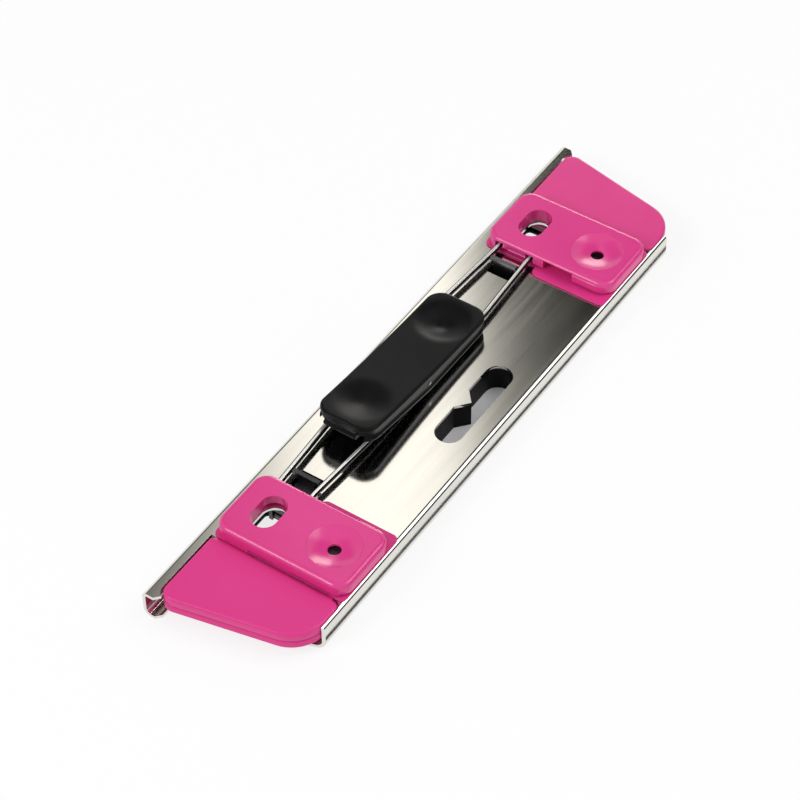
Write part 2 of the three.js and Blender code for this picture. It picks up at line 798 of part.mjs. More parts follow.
function buildGrip() {
  const half = gripLength / 2;
  const top = gripTopHeight - gripPinHeight;
  const bottom = gripClearance - gripPinHeight;
  const stationShares = [-1, -0.75, -0.5, 0, 0.5, 0.75, 1];
  const crest = stationShares.map((share) => {
    const radius = Math.abs(share) === 1 ? gripEndRadius : 0;
    return [share * half, top + gripEndHeight * share * share, radius];
  });
  const outline = rounded([...crest, ...rockerProfile(half, bottom, gripHeelRadius)]);
  const shell = acrossGrip(outline, gripWidth, gripEdgeRadius);
  const plan = slab(rounded([
    [-half, gripY - gripWidth / 2, gripCornerRadius],
    [half, gripY - gripWidth / 2, gripCornerRadius],
    [half, gripY + gripWidth / 2, gripCornerRadius],
    [-half, gripY + gripWidth / 2, gripCornerRadius],
  ]), [bottom - overrun, top + gripEndHeight + overrun]);
  const inside = gripWidth / 2 - gripWallThickness;
  const hollow = block(
    [-gripHollowLength / 2, gripHollowLength / 2],
    [gripY - inside, gripY + inside],
    [bottom - overrun, top - gripRoofThickness],
  );
  const railOver = railTop - gripPinZ + gripNotchGap;
  const notchHalf = half + overrun;
  const notchShape = rounded([
    ...rockerProfile(notchHalf, railOver, 0),
    [-notchHalf, bottom - overrun, 0],
    [notchHalf, bottom - overrun, 0],
  ]);
  const notches = [-1, 1].map((sign) => {
    const notch = acrossGrip(notchShape, railThickness + 2 * inlayGap, 0);
    return notch.translate(0, (sign * railMiddleSpacing) / 2 - gripOffsetY, 0);
  });
  const pinHole = crosswise(
    0,
    0,
    gripPinDiameter / 2 + slipGap,
    [gripY - gripPinHalf - slipGap, gripY + gripPinHalf + slipGap],
    pinSides,
  );
  const thumbs = [-1, 1].map((sign) => dish(
    sign * thumbOffset,
    gripY,
    top + gripEndHeight * (thumbOffset / half) ** 2,
    thumbDiameter,
    thumbDepth,
  ));
  const grip = cut(shell.intersect(plan), hollow, ...notches, pinHole, ...thumbs);
  const piece = addPiece('grip', grip, black);
  piece.position.set(gripOffsetX, 0, gripPinZ);
  piece.rotation.y = gripRock;
}

function buildGripPin() {
  const pin = crosswise(
    gripOffsetX,
    gripPinZ,
    gripPinDiameter / 2,
    [gripY - gripPinHalf, gripY + gripPinHalf],
    pinSides,
  );
  addPiece('grip_pin', pin, darkSteel);
}

// Return springs, which stand on the bottom cover and push the carrier up

function buildSpring({ name, sign }) {
  const wire = springWireDiameter / 2;
  const low = coverThickness + seatGap + wire;
  const high = railUnder - seatGap - wire;
  const steps = springCurls * springSteps;
  const radius = springDiameter / 2;
  const centres = [];
  const positions = [];
  for (let step = 0; step <= steps; step += 1) {
    const angle = (2 * Math.PI * step) / springSteps;
    const out = new THREE.Vector3(Math.cos(angle), Math.sin(angle), 0);
    const height = THREE.MathUtils.lerp(low, high, step / steps);
    const centre = new THREE.Vector3(sign * springOffset, ringY, height).addScaledVector(out, radius);
    centres.push(centre);
    for (let side = 0; side < springSides; side += 1) {
      const around = (2 * Math.PI * side) / springSides;
      const point = centre.clone().addScaledVector(out, wire * Math.cos(around));
      point.z += wire * Math.sin(around);
      positions.push(point.x, point.y, point.z);
    }
  }
  const index = [];
  for (let step = 0; step < steps; step += 1) {
    for (let side = 0; side < springSides; side += 1) {
      const a = step * springSides + side;
      const b = step * springSides + ((side + 1) % springSides);
      const c = a + springSides;
      const d = b + springSides;
      index.push(a, c, b, b, c, d);
    }
  }
  const last = steps * springSides;
  for (let side = 1; side < springSides - 1; side += 1) {
    index.push(0, side, side + 1);
    index.push(last, last + side + 1, last + side);
  }
  const geometry = new THREE.BufferGeometry();
  geometry.setAttribute('position', new THREE.Float32BufferAttribute(positions, 3));
  geometry.setIndex(index);
  addPiece(`return_spring_${name}`, solid(geometry), darkSteel);
  let least = Infinity;
  centres.forEach((point, i) => {
    centres.slice(i + springSteps - 1).forEach((other) => {
      least = Math.min(least, point.distanceTo(other) - springWireDiameter);
    });
  });
  console.log(`return_spring_${name}: least gap to itself ${least.toFixed(2)} mm`);
}

// Bottom cover, with posts that centre the springs

function buildCover() {
  const half = halfDepth - flangeWidth - inlayGap;
  const lapUnder = sheetThickness + seatGap;
  const lapTop = lapUnder + coverLapThickness;
  const ends = [-padInX - coverEndLength, padInX + coverEndLength];
  const pan = block(ends, [-half, half], [0, coverThickness]);
  const well = cutoutSolid(-wellWallThickness, [0, plateUnder - seatGap]);
  const laps = [-1, 1].map((sign) => joined(
    block(ends, [sign * half, sign * (half - coverThickness)], [0, lapTop]),
    block(
      ends,
      [sign * (half - coverThickness), sign * (half + inlayGap + coverLapWidth)],
      [lapUnder, lapTop],
    ),
  ));
  const through = [-overrun, plateTop + overrun];
  let cover = joined(pan, well, ...laps);
  cover = cut(cover, cutoutSolid(0, through));
  for (const { sign } of sides) {
    const [low, high] = [ringY - coverHoleWidth / 2, ringY + coverHoleWidth / 2];
    const [near, far] = [sign * holeX - coverHoleLength / 2, sign * holeX + coverHoleLength / 2];
    const hole = rounded([
      [near, low, coverHoleRadius],
      [far, low, coverHoleRadius],
      [far, high, coverHoleRadius],
      [near, high, coverHoleRadius],
    ]);
    cover = cut(cover, slab(hole, through));
    cover = joined(
      cover,
      upright(
        sign * springOffset,
        ringY,
        springPostDiameter / 2,
        [0, coverThickness + springPostHeight],
        pinSides,
      ),
    );
  }
  addPiece('bottom_cover', cover, black);
}

// Screws from below into the blocks, and rivets that end under the paper beds

function buildScrew(name, x, headTop) {
  const screw = joined(
    upright(x, screwY, screwHeadDiameter / 2, [headTop - screwHeadHeight, headTop], pinSides),
    upright(x, screwY, screwDiameter / 2, [headTop - screwHeadHeight / 2, plateTop + screwReach], pinSides),
  );
  addPiece(name, screw, darkSteel);
}

function buildRivet(name, x, y, headTop) {
  const rivet = joined(
    upright(x, y, rivetHeadDiameter / 2, [headTop - rivetHeadHeight, headTop], pinSides),
    upright(x, y, rivetDiameter / 2, [headTop - rivetHeadHeight / 2, plateTop], pinSides),
  );
  addPiece(name, rivet, darkSteel);
}

buildPlate();
buildCover();
buildRail('front_rail', -1);
buildRail('rear_rail', 1);
buildCarrier();
buildGripPin();
buildGrip();
for (const side of sides) {
  buildPad(side);
  buildBed(side);
  buildBlock(side);
  buildDie(side);
  buildPunch(side);
  buildLever(side);
  buildBracket(side);
  buildPivotPin(side);
  buildLeg(side);
  buildSpring(side);
  const { name, sign } = side;
  buildScrew(`block_screw_inner_${name}`, sign * screwInnerX, strapUnder - seatGap);
  buildScrew(`block_screw_outer_${name}`, sign * screwOuterX, tongueUnder - seatGap);
  buildRivet(`pad_rivet_${name}`, sign * padRivetX, -halfDepth + padRivetInset, tongueUnder - seatGap);
  buildRivet(`bracket_rivet_${name}`, sign * pivotX, -halfDepth + strapRivetInset, strapUnder - seatGap);
}

export default punch;
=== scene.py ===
import math

import bmesh
import bpy
from mathutils import Matrix, Vector


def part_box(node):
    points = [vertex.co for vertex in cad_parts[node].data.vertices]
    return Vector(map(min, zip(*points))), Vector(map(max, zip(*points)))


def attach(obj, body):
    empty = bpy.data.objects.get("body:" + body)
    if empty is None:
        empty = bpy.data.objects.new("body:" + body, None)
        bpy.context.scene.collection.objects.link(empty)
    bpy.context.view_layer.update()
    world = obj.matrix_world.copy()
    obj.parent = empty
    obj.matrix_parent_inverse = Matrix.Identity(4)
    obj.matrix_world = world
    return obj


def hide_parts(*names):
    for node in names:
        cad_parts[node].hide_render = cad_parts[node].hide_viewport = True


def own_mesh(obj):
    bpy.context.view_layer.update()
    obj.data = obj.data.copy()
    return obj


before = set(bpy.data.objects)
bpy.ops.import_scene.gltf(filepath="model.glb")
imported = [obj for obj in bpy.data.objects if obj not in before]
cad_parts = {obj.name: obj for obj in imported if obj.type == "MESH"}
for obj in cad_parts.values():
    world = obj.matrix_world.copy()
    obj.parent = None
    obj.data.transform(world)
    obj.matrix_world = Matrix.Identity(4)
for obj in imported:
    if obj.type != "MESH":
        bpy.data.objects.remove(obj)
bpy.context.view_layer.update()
mm = 0.001

# The camera looks down on the punch from its near end, as the photograph does.
# Its turn, height and tilt come from lines on the object, and so do its lens and distance.
camera_azimuth = math.radians(-55.70)
camera_elevation = math.radians(47.11)
camera_roll = math.radians(-0.54)
camera_distance = 470.47
camera_aside = 1.44
camera_above = 4.64
camera_lens = 125.94
camera_sensor = 36.0
camera_nearest = 0.01
ring_line_y = 5.55
plate_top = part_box("base_plate")[1].z / mm

back = Vector((
    math.sin(camera_azimuth) * math.cos(camera_elevation),
    -math.cos(camera_azimuth) * math.cos(camera_elevation),
    math.sin(camera_elevation),
))
level_right = Vector((math.cos(camera_azimuth), math.sin(camera_azimuth), 0))
level_up = back.cross(level_right)
right = level_right * math.cos(camera_roll) + level_up * math.sin(camera_roll)
up = level_up * math.cos(camera_roll) - level_right * math.sin(camera_roll)
target = Vector((0, ring_line_y, plate_top))
place = target + back * camera_distance - right * camera_aside - up * camera_above
camera_data = bpy.data.cameras.new("photo_camera")
camera_data.lens = camera_lens
camera_data.sensor_width = camera_sensor
camera_data.clip_start = camera_nearest
camera = bpy.data.objects.new("photo_camera", camera_data)
camera_turn = Matrix((right, up, back)).transposed().to_4x4()
camera.matrix_world = Matrix.Translation(place * mm) @ camera_turn
bpy.context.scene.collection.objects.link(camera)
bpy.context.scene.camera = camera
bpy.context.scene.view_settings.view_transform = "Standard"


# The floor is a plain pale sheet in a white room. The camera, bright steel and clear things see
# both white, but not the floor under the middle of the punch, which shows in the cut-out.
# What lights the punch is a softer grey, so a colour shows as it is written.
floor_half = 3.0
floor_z = -0.00003
floor_colour = (0.95, 0.95, 0.95, 1)
floor_roughness = 0.9
floor_lift = 0.8
shade_half_length = 15.0
shade_half_width = 9.0
shade_fade = 1.0
room_white = (1, 1, 1, 1)
room_grey = (0.95, 0.95, 0.96, 1)
room_level = 0.62
square = ((-1, -1), (1, -1), (1, 1), (-1, 1))


def mesh_object(name, shape):
    """A bmesh made an object at the origin; the bmesh is freed."""
    mesh = bpy.data.meshes.new(name)
    shape.to_mesh(mesh)
    shape.free()
    thing = bpy.data.objects.new(name, mesh)
    bpy.context.scene.collection.objects.link(thing)
    return thing


def sheet_object(name, corners):
    shape = bmesh.new()
    shape.faces.new([shape.verts.new(corner) for corner in corners])
    return mesh_object(name, shape)


def add_node(tree, kind, links=(), **settings):
    """A node with its settings, and its inputs linked or set by (input, value)."""
    node = tree.nodes.new(kind)
    for key, value in settings.items():
        setattr(node, key, value)
    for socket, value in links:
        if isinstance(value, bpy.types.NodeSocket):
            tree.links.new(value, node.inputs[socket])
        else:
            node.inputs[socket].default_value = value
    return node


def reckon(tree, operation, first, second=0.0):
    node = add_node(tree, "ShaderNodeMath", ((0, first), (1, second)), operation=operation)
    return node.outputs[0]


def seen_white(tree, surface, seen, otherwise, where=1.0):
    """Shows one shader to camera, glossy and transmission rays, and the other to the rest."""
    path = tree.nodes.new("ShaderNodeLightPath").outputs
    rays = path["Is Camera Ray"]
    for kind in ("Is Glossy Ray", "Is Transmission Ray"):
        rays = reckon(tree, "MAXIMUM", rays, path[kind])
    share = reckon(tree, "MULTIPLY", rays, where)
    mix = add_node(tree, "ShaderNodeMixShader", ((0, share), (1, otherwise), (2, seen)))
    tree.links.new(mix.outputs[0], surface)


floor = sheet_object("floor", [(floor_half * a, floor_half * b, floor_z) for a, b in square])
floor_paint = bpy.data.materials.new("floor_paint")
floor_paint.use_nodes = True
floor_tree = floor_paint.node_tree
floor_shader = floor_tree.nodes["Principled BSDF"]
floor_shader.inputs["Base Color"].default_value = floor_colour
floor_shader.inputs["Roughness"].default_value = floor_roughness
floor_shader.inputs["Specular IOR Level"].default_value = 0.0
floor_coords = floor_tree.nodes.new("ShaderNodeTexCoord")
floor_parts = add_node(floor_tree, "ShaderNodeSeparateXYZ", ((0, floor_coords.outputs["Object"]),))
lifts = []
for direction, reach in (("X", shade_half_length), ("Y", shade_half_width)):
    away = reckon(floor_tree, "ABSOLUTE", floor_parts.outputs[direction])
    lifts.append(add_node(floor_tree, "ShaderNodeMapRange", (
        ("Value", away),
        ("From Min", reach * mm),
        ("From Max", (reach + shade_fade) * mm),
        ("To Max", floor_lift),
    )).outputs[0])
seen_white(
    floor_tree,
    floor_tree.nodes["Material Output"].inputs["Surface"],
    floor_tree.nodes.new("ShaderNodeEmission").outputs[0],
    floor_shader.outputs[0],
    reckon(floor_tree, "MAXIMUM", *lifts),
)
floor.data.materials.append(floor_paint)

world = bpy.data.worlds.new("studio")
world.use_nodes = True
bpy.context.scene.world = world
room = world.node_tree
room.nodes.clear()
room_out = room.nodes.new("ShaderNodeOutputWorld")
grey_room = add_node(room, "ShaderNodeBackground", (("Color", room_grey), ("Strength", room_level)))
white_room = add_node(room, "ShaderNodeBackground", (("Color", room_white),))
seen_white(room, room_out.inputs["Surface"], white_room.outputs[0], grey_room.outputs[0])


# Two soft lamps and four cards that only bright things mirror. The graded card hangs where the
# sheet steel mirrors it to the camera, white on the left and dark on the right. The others
# darken the low front and put a window's light on the far end. The last is a dark strip on the
# floor along the front foot, a painted shadow that the steel's foot mirrors as a dark line.
key_place = (-0.58, 0.3, 0.5)
key_size = 0.34
key_power = 2.2
fill_place = (0.35, -0.5, 0.75)
fill_size = 0.6
fill_power = 3.0
card_distance = 900
card_half = 420
card_stops = [
    (-44, 0.14), (-27, 0.6), (-16, 1.4), (7.5, 1.6), (9.5, 1.25), (12.5, 0.48), (14.5, 0.3),
    (17.0, 0.16), (19.5, 0.1), (23.0, 0.045), (26.0, 0.02), (30.0, 0.008),
]
card_warmth = (1.0, 0.98, 0.92)
low_card_side = (0.58, -0.81)
low_card_distance = 800
low_card_half = 700
low_card_top = 420
low_card_level = 0.06
window_card_side = (0.86, 0.37, 0.35)
window_card_distance = 650
window_card_half = 115
window_card_level = 6.5
# painted shadow: a dark strip laid on the floor along the front foot
shadow_strip_y = (-15.5, -15.0)
shadow_strip_half = 62.0
shadow_strip_z = 0.02


def soft_lamp(name, spot, size, power):
    """A square lamp that shines on the punch."""
    lamp_data = bpy.data.lights.new(name, "AREA")
    lamp_data.size = size
    lamp_data.energy = power
    lamp = bpy.data.objects.new(name, lamp_data)
    lamp.location = spot
    lamp.rotation_euler = Vector(spot).to_track_quat("Z", "Y").to_euler()
    bpy.context.scene.collection.objects.link(lamp)


def mirror_card(name, corners, stops, across=1.0):
    """A glowing sheet that only mirrored light sees; its level runs along its own X."""
    card = sheet_object(name, [corner * mm for corner in corners])
    chart = card.data.uv_layers.new(name="across")
    for loop, (a, b) in zip(chart.data, square):
        loop.uv = ((a + 1) / 2, (b + 1) / 2)
    glow = bpy.data.materials.new(name)
    glow.use_nodes = True
    tree = glow.node_tree
    tree.nodes.clear()
    chart_place = tree.nodes.new("ShaderNodeUVMap")
    parts = add_node(tree, "ShaderNodeSeparateXYZ", ((0, chart_place.outputs["UV"]),))
    levels = add_node(tree, "ShaderNodeValToRGB", ((0, parts.outputs["X"]),))
    elements = levels.color_ramp.elements
    for i, (spot, level) in enumerate(stops):
        element = elements[i] if i < 2 else elements.new(1.0)
        element.position = 0.5 + spot * across
        element.color = (*(level * warmth for warmth in card_warmth), 1)
    light = add_node(tree, "ShaderNodeEmission", (("Color", levels.outputs[0]),))
    add_node(tree, "ShaderNodeOutputMaterial", (("Surface", light.outputs[0]),))
    card.data.materials.append(glow)
    card.visible_camera = False
    card.visible_shadow = False
    card.visible_diffuse = False


def even_level(level):
    return [(-0.5, level), (0.5, level)]


soft_lamp("key_lamp", key_place, key_size, key_power)
soft_lamp("fill_lamp", fill_place, fill_size, fill_power)

mirrored = Vector((-back.x, -back.y, back.z))
card_centre = target + mirrored * card_distance
card_up = mirrored.cross(level_right)
card_share = (camera_distance + card_distance) / camera_distance / (2 * card_half)
mirror_card("graded_card", [
    card_centre + level_right * (card_half * a) + card_up * (card_half * b) for a, b in square
], card_stops, card_share)
low_middle = Vector((*low_card_side, 0)) * low_card_distance
low_along = Vector((-low_card_side[1], low_card_side[0], 0)) * low_card_half
low_up = Vector((0, 0, low_card_top))
mirror_card("low_card", [
    low_middle + low_along * a + low_up * ((b + 1) / 2) for a, b in square
], even_level(low_card_level))
window_aim = Vector(window_card_side).normalized()
window_along = Vector((-window_aim.y, window_aim.x, 0)).normalized()
window_up = window_aim.cross(window_along)
mirror_card("window_card", [
    window_aim * window_card_distance + (window_along * a + window_up * b) * window_card_half
    for a, b in square
], even_level(window_card_level))
# The dark floor strip is a painted shadow, mirrored as a dark line along the steel's foot.
mirror_card("painted_shadow_strip", [
    Vector((shadow_strip_half * a, shadow_strip_y[(b + 1) // 2], shadow_strip_z)) for a, b in square
], even_level(low_card_level))


# Steel base: one bright rolled sheet, pressed to shape, with its long edges bent down and
# turned in. The ring holes, windows and cut-out are punched before it is bent.
base_low, base_high = (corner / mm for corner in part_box("base_plate"))
sheet_thick = 0.6
bend_radius = 0.9
flange_width = 3.0
corner_tab = 2.15
corner_step = (1.6, 3.55)
foot_bend_radius = 1.6
front_rim_inset = 10.0
hole_x = 40.0
ring_y = ring_line_y
punch_y = -7.15
ring_hole_length = 7.1
ring_hole_width = 4.6
punch_hole_radius = 2.85
window_near_x = 27.7
window_far_x = 31.7
window_half_width = 2.2
cutout_length = 20.0
cutout_width = 5.0
cutout_y = -7.55
mark_half_width = 3.45
mark_tip = 2.0
mark_root = 1.0
pad_inner_x = 47.3
pad_slope = 0.21
pad_rear_y = 11.65
pad_front_y = -13.4
pad_end_x = 60.6
pad_gap = 0.3
pad_front_gap = 0.1
pocket_radii = (0.0, 2.0, 6.5, 1.5)
spring_x = 8.0
spring_hole_radius = 2.5
base_broken_edge = 0.07
past = 1.0
arc_steps = 12
weld_gap = 0.002


def rounded(corners, steps=arc_steps):
    """An outline of (x, y, radius) corners as points, with an arc at each corner."""
    points = []
    count = len(corners)
    for i, (x, y, radius) in enumerate(corners):
        here = Vector((x, y))
        before = (Vector(corners[i - 1][:2]) - here).normalized()
        after = (Vector(corners[(i + 1) % count][:2]) - here).normalized()
        if radius <= 0:
            points.append((x, y))
            continue
        half = before.angle(after) / 2
        centre = here + (before + after).normalized() * (radius / math.sin(half))
        start = here + before * (radius / math.tan(half)) - centre
        turn = start.angle_signed(here + after * (radius / math.tan(half)) - centre)
        for step in range(steps + 1):
            angle = -turn * step / steps
            arm = Matrix.Rotation(angle, 2) @ start
            points.append(tuple(centre + arm))
    return points


def obround(x, y, length, width, steps=arc_steps * 2):
    """A slot's outline: two half circles with straight sides between them."""
    run = (length - width) / 2
    points = []
    for centre, first in ((x + run, -90), (x - run, 90)):
        for step in range(steps + 1):
            angle = math.radians(first + 180 * step / steps)
            points.append((centre + width / 2 * math.cos(angle), y + width / 2 * math.sin(angle)))
    return points


def ring(x, y, radius, steps=48):
    turns = [2 * math.pi * step / steps for step in range(steps)]
    return [(x + radius * math.cos(turn), y + radius * math.sin(turn)) for turn in turns]


AXES = {
    "X": lambda u, v, w: (w, u, v),
    "Y": lambda u, v, w: (u, w, v),
    "Z": lambda u, v, w: (u, v, w),
}


def stack(name, rings, axis="Z"):
    """A closed solid through outlines of equal count: rings is a list of (outline, height)."""
    shape = bmesh.new()
    loops = []
    for outline, height in rings:
        loops.append([shape.verts.new(Vector(AXES[axis](u, v, height)) * mm) for u, v in outline])
    count = len(loops[0])
    for low, high in zip(loops, loops[1:]):
        for i in range(count):
            j = (i + 1) % count
            shape.faces.new((low[i], low[j], high[j], high[i]))
    shape.faces.new(list(reversed(loops[0])))
    shape.faces.new(loops[-1])
    bmesh.ops.recalc_face_normals(shape, faces=shape.faces)
    return mesh_object(name, shape)


def prism(name, outline, low, high, axis="Z"):
    return stack(name, [(outline, low), (outline, high)], axis)


def box_outline(x0, x1, y0, y1):
    return [(x0, y0), (x1, y0), (x1, y1), (x0, y1)]


def box_corners(x0, x1, y0, y1, radius):
    """The same four corners with a radius on each, for rounded and for a moulding."""
    return [(x, y, radius) for x, y in box_outline(x0, x1, y0, y1)]


def bake(piece):
    """The piece's modifiers made part of its mesh."""
    evaluated = piece.evaluated_get(bpy.context.evaluated_depsgraph_get())
    mesh = bpy.data.meshes.new_from_object(evaluated)
    piece.modifiers.clear()
    piece.data = mesh


def carve(piece, *tools, operation="DIFFERENCE"):
    for tool in tools:
        modifier = piece.modifiers.new("carve", "BOOLEAN")
        modifier.operation = operation
        modifier.solver = "EXACT"
        modifier.object = tool
        bake(piece)
        bpy.data.objects.remove(tool)


def soften(piece, width=0.0, steps=2, angle=30):
    """Breaks the sharp edges and evens the shading over flat and round faces."""
    clean = bmesh.new()
    clean.from_mesh(piece.data)
    bmesh.ops.remove_doubles(clean, verts=clean.verts, dist=weld_gap * mm)
    bmesh.ops.dissolve_degenerate(clean, edges=clean.edges, dist=weld_gap * mm)
    clean.to_mesh(piece.data)
    clean.free()
    if width:
        bevel = piece.modifiers.new("broken_edges", "BEVEL")
        bevel.width = width * mm
        bevel.segments = steps
        bevel.limit_method = "ANGLE"
        bevel.angle_limit = math.radians(angle)
        bevel.use_clamp_overlap = True
    piece.data.shade_smooth()
    even = piece.modifiers.new("even_normals", "WEIGHTED_NORMAL")
    even.keep_sharp = False
    even.weight = 100
    bake(piece)


def linear(red, green, blue):
    """A colour of 0 to 255 as the eye reads it, in the shader's own linear values."""
    values = []
    for value in (red, green, blue):
        share = value / 255
        values.append(share / 12.92 if share <= 0.04045 else ((share + 0.055) / 1.055) ** 2.4)
    return (*values, 1)


def paint(piece, material):
    piece.data.materials.clear()
    piece.data.materials.append(material)


def object_noise(tree, scale, detail=3, stretch=(1, 1, 1)):
    """Noise in the piece's own coordinates, stretched along an axis where it is drawn out."""
    coords = tree.nodes.new("ShaderNodeTexCoord")
    mapping = add_node(tree, "ShaderNodeMapping", ((0, coords.outputs["Object"]), ("Scale", stretch)))
    noise = add_node(tree, "ShaderNodeTexNoise", (
        ("Vector", mapping.outputs[0]), ("Scale", scale), ("Detail", detail),
    ))
    return noise.outputs["Fac"]


def ramp(tree, source, stops):
    """Turns a value into colours by (position, colour) stops."""
    node = add_node(tree, "ShaderNodeValToRGB", ((0, source),))
    elements = node.color_ramp.elements
    elements[0].position, elements[0].color = stops[0]
    elements[1].position, elements[1].color = stops[-1]
    for position, colour in stops[1:-1]:
        elements.new(position).color = colour
    return node.outputs[0]


def span_value(tree, source, low, high):
    node = add_node(tree, "ShaderNodeMapRange", (("Value", source), ("To Min", low), ("To Max", high)))
    return node.outputs[0]


def finish(name, metallic, tints, cloud, grain, gloss, relief, specular=0.5):
    """A worked surface: its tint follows a cloud, its roughness and relief a grain.

    cloud and grain are (scale, detail, stretch), gloss is the roughness from and to, and relief
    is (depth, strength). Returns the material with its tree, its shader and its grain.
    """
    material = bpy.data.materials.new(name)
    material.use_nodes = True
    tree = material.node_tree
    shader = tree.nodes["Principled BSDF"]
    shader.inputs["Metallic"].default_value = metallic
    shader.inputs["Specular IOR Level"].default_value = specular
    if tints:
        tree.links.new(ramp(tree, object_noise(tree, *cloud), tints), shader.inputs["Base Color"])
    grains = object_noise(tree, *grain)
    tree.links.new(span_value(tree, grains, *gloss), shader.inputs["Roughness"])
    depth, strength = relief
    raise_by = add_node(tree, "ShaderNodeBump", (
        ("Height", grains), ("Distance", depth * mm), ("Strength", strength),
    ))
    tree.links.new(raise_by.outputs[0], shader.inputs["Normal"])
    return material, tree, shader, grains


def pad_end(y):
    return pad_end_x + pad_slope * (y - ring_y)


def pad_corners(sign, grow, front_grow, radii):
    """Corners of a pad's outline, or of its pocket where it grows, on the left or the right."""
    rear = pad_rear_y + grow
    front = pad_front_y - front_grow
    return [
        (sign * (pad_inner_x - grow), rear, radii[0]),
        (sign * (pad_end(rear) + grow), rear, radii[1]),
        (sign * (pad_end(front) + grow), front, radii[2]),
        (sign * (pad_inner_x - grow), front, radii[3]),
    ]


steel_light = linear(232, 229, 222)
steel_shadow = linear(222, 220, 215)
steel = finish(
    "rolled_steel", 1.0, [(0.3, steel_shadow), (0.75, steel_light)],
    cloud=(55,), grain=(900, 3, (0.04, 1.0, 1.0)), gloss=(0.08, 0.15), relief=(0.004, 0.25),
)[0]


def sheet_section(inside):
    """The bent sheet's outline across its length, at a distance inside its outer face."""
    foot = foot_bend_radius - inside
    bend = bend_radius - inside
    return rounded([
        (base_low.y + inside, base_low.z + inside, foot),
        (base_high.y - inside, base_low.z + inside, foot),
        (base_high.y - inside, base_high.z - inside, bend),
        (base_low.y + inside, base_high.z - inside, bend),
    ])


mouth = box_outline(
    base_low.y + flange_width,
    base_high.y - flange_width,
    base_low.z - past,
    base_low.z + sheet_thick + past / 2,
)
plan = [
    (base_high.x, base_high.y + past),
    (base_low.x, base_high.y + past),
    (base_low.x, base_high.y - corner_tab),
    (base_low.x + corner_step[0], base_high.y - corner_step[1]),
    (base_low.x + front_rim_inset, base_low.y),
    (base_low.x + front_rim_inset, base_low.y - past),
    (base_high.x - front_rim_inset, base_low.y - past),
    (base_high.x - front_rim_inset, base_low.y),
    (base_high.x - corner_step[0], base_high.y - corner_step[1]),
    (base_high.x, base_high.y - corner_tab),
]
over = (plate_top - sheet_thick - past, plate_top + past)
base = prism("steel_base", sheet_section(0), base_low.x, base_high.x, "X")
carve(
    base,
    prism("core", sheet_section(sheet_thick), base_low.x - past, base_high.x + past, "X"),
    prism("mouth", mouth, base_low.x - past, base_high.x + past, "X"),
)
carve(base, prism("plan", plan, -past, plate_top + past), operation="INTERSECT")
mark_outline = [
    (-mark_half_width, cutout_y + cutout_width / 2 + mark_root),
    (0, cutout_y + cutout_width / 2 - mark_tip),
    (mark_half_width, cutout_y + cutout_width / 2 + mark_root),
]
cutout_tool = prism("cutout", obround(0, cutout_y, cutout_length, cutout_width), *over)
carve(cutout_tool, prism("mark", mark_outline, over[0] - past, over[1] + past))
carve(base, cutout_tool)
for sign in (-1, 1):
    pocket = rounded(pad_corners(sign, pad_gap, pad_front_gap, pocket_radii))
    window = box_outline(
        sign * window_near_x,
        sign * window_far_x,
        ring_y - window_half_width,
        ring_y + window_half_width,
    )
    carve(
        base,
        prism("pad_pocket", pocket, *over),
        prism("window", window, *over),
        prism("ring_hole", obround(sign * hole_x, ring_y, ring_hole_length, ring_hole_width), *over),
        prism("punch_hole", ring(sign * hole_x, punch_y, punch_hole_radius), *over),
        prism("spring_hole", ring(sign * spring_x, ring_y, spring_hole_radius), *over),
    )
soften(base, base_broken_edge)
paint(base, steel)
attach(base, "base")
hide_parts("base_plate")


# End pads: pink plastic mouldings let into the ends of the steel, with a parting groove round
# their side. A tongue goes under the sheet, held by a rivet and a screw. A lip meets the bed.
pad_top = plate_top + 0.3
pad_under = plate_top - 3.2
pad_edge = 0.5
pad_foot_edge = 0.5
groove_z = plate_top - 1.45
groove_half = 0.16
groove_depth = 0.22
pad_radii = (0.6, 2.0, 6.5, 1.5)
tongue_inner_x = 44.2
tongue_lap = 1.2
tongue_y = (-13.05, 11.05)
tongue_lift = 0.02
tongue_slack = 0.05
lip_inner_x = 47.01
lip_width = 1.2
lip_y = (-11.8, 10.95)
lip_lift = 0.6
least_radius = 0.02
edge_steps = 5


def inset(corners, distance):
    """The same corners with every side moved inwards."""
    count = len(corners)
    area = sum(
        corners[i - 1][0] * corners[i][1] - corners[i][0] * corners[i - 1][1] for i in range(count)
    )
    side = 1 if area > 0 else -1
    lines = []
    for i in range(count):
        start = Vector(corners[i][:2])
        along = (Vector(corners[(i + 1) % count][:2]) - start).normalized()
        lines.append((start + Vector((-along.y, along.x)) * (side * distance), along))
    moved = []
    for i in range(count):
        (p, d), (q, e) = lines[i - 1], lines[i]
        across = d.x * e.y - d.y * e.x
        step = ((q.x - p.x) * e.y - (q.y - p.y) * e.x) / across
        spot = p + d * step
        radius = corners[i][2]
        moved.append((spot.x, spot.y, max(radius - distance, least_radius) if radius > 0 else 0))
    return moved


def moulding(name, corners, profile, steps=arc_steps):
    """A solid whose outline is set in by each (inset, height) of its profile."""
    return stack(name, [(rounded(inset(corners, depth), steps), height) for depth, height in profile])


def round_top(top, radius, steps=edge_steps):
    """Profile points of a rounded upper edge, going up."""
    turns = [math.pi / 2 * step / steps for step in range(steps + 1)]
    return [(radius * (1 - math.cos(turn)), top - radius * (1 - math.sin(turn))) for turn in turns]


def round_foot(foot, radius, steps=edge_steps):
    turns = [math.pi / 2 * step / steps for step in range(steps + 1)]
    return [(radius * (1 - math.sin(turn)), foot + radius * (1 - math.cos(turn))) for turn in turns]


pink_light = linear(220, 56, 136)
pink_deep = linear(215, 49, 130)


def pink_finish(name, gloss, specular):
    """Moulded pink plastic with a slight cloud in its colour and a fine grain."""
    return finish(
        name, 0.0, [(0.3, pink_deep), (0.7, pink_light)],
        cloud=(70, 2), grain=(2600, 2), gloss=gloss, relief=(0.008, 0.2), specular=specular,
    )[0]


pink = pink_finish("pink_plastic", (0.28, 0.36), 0.3)

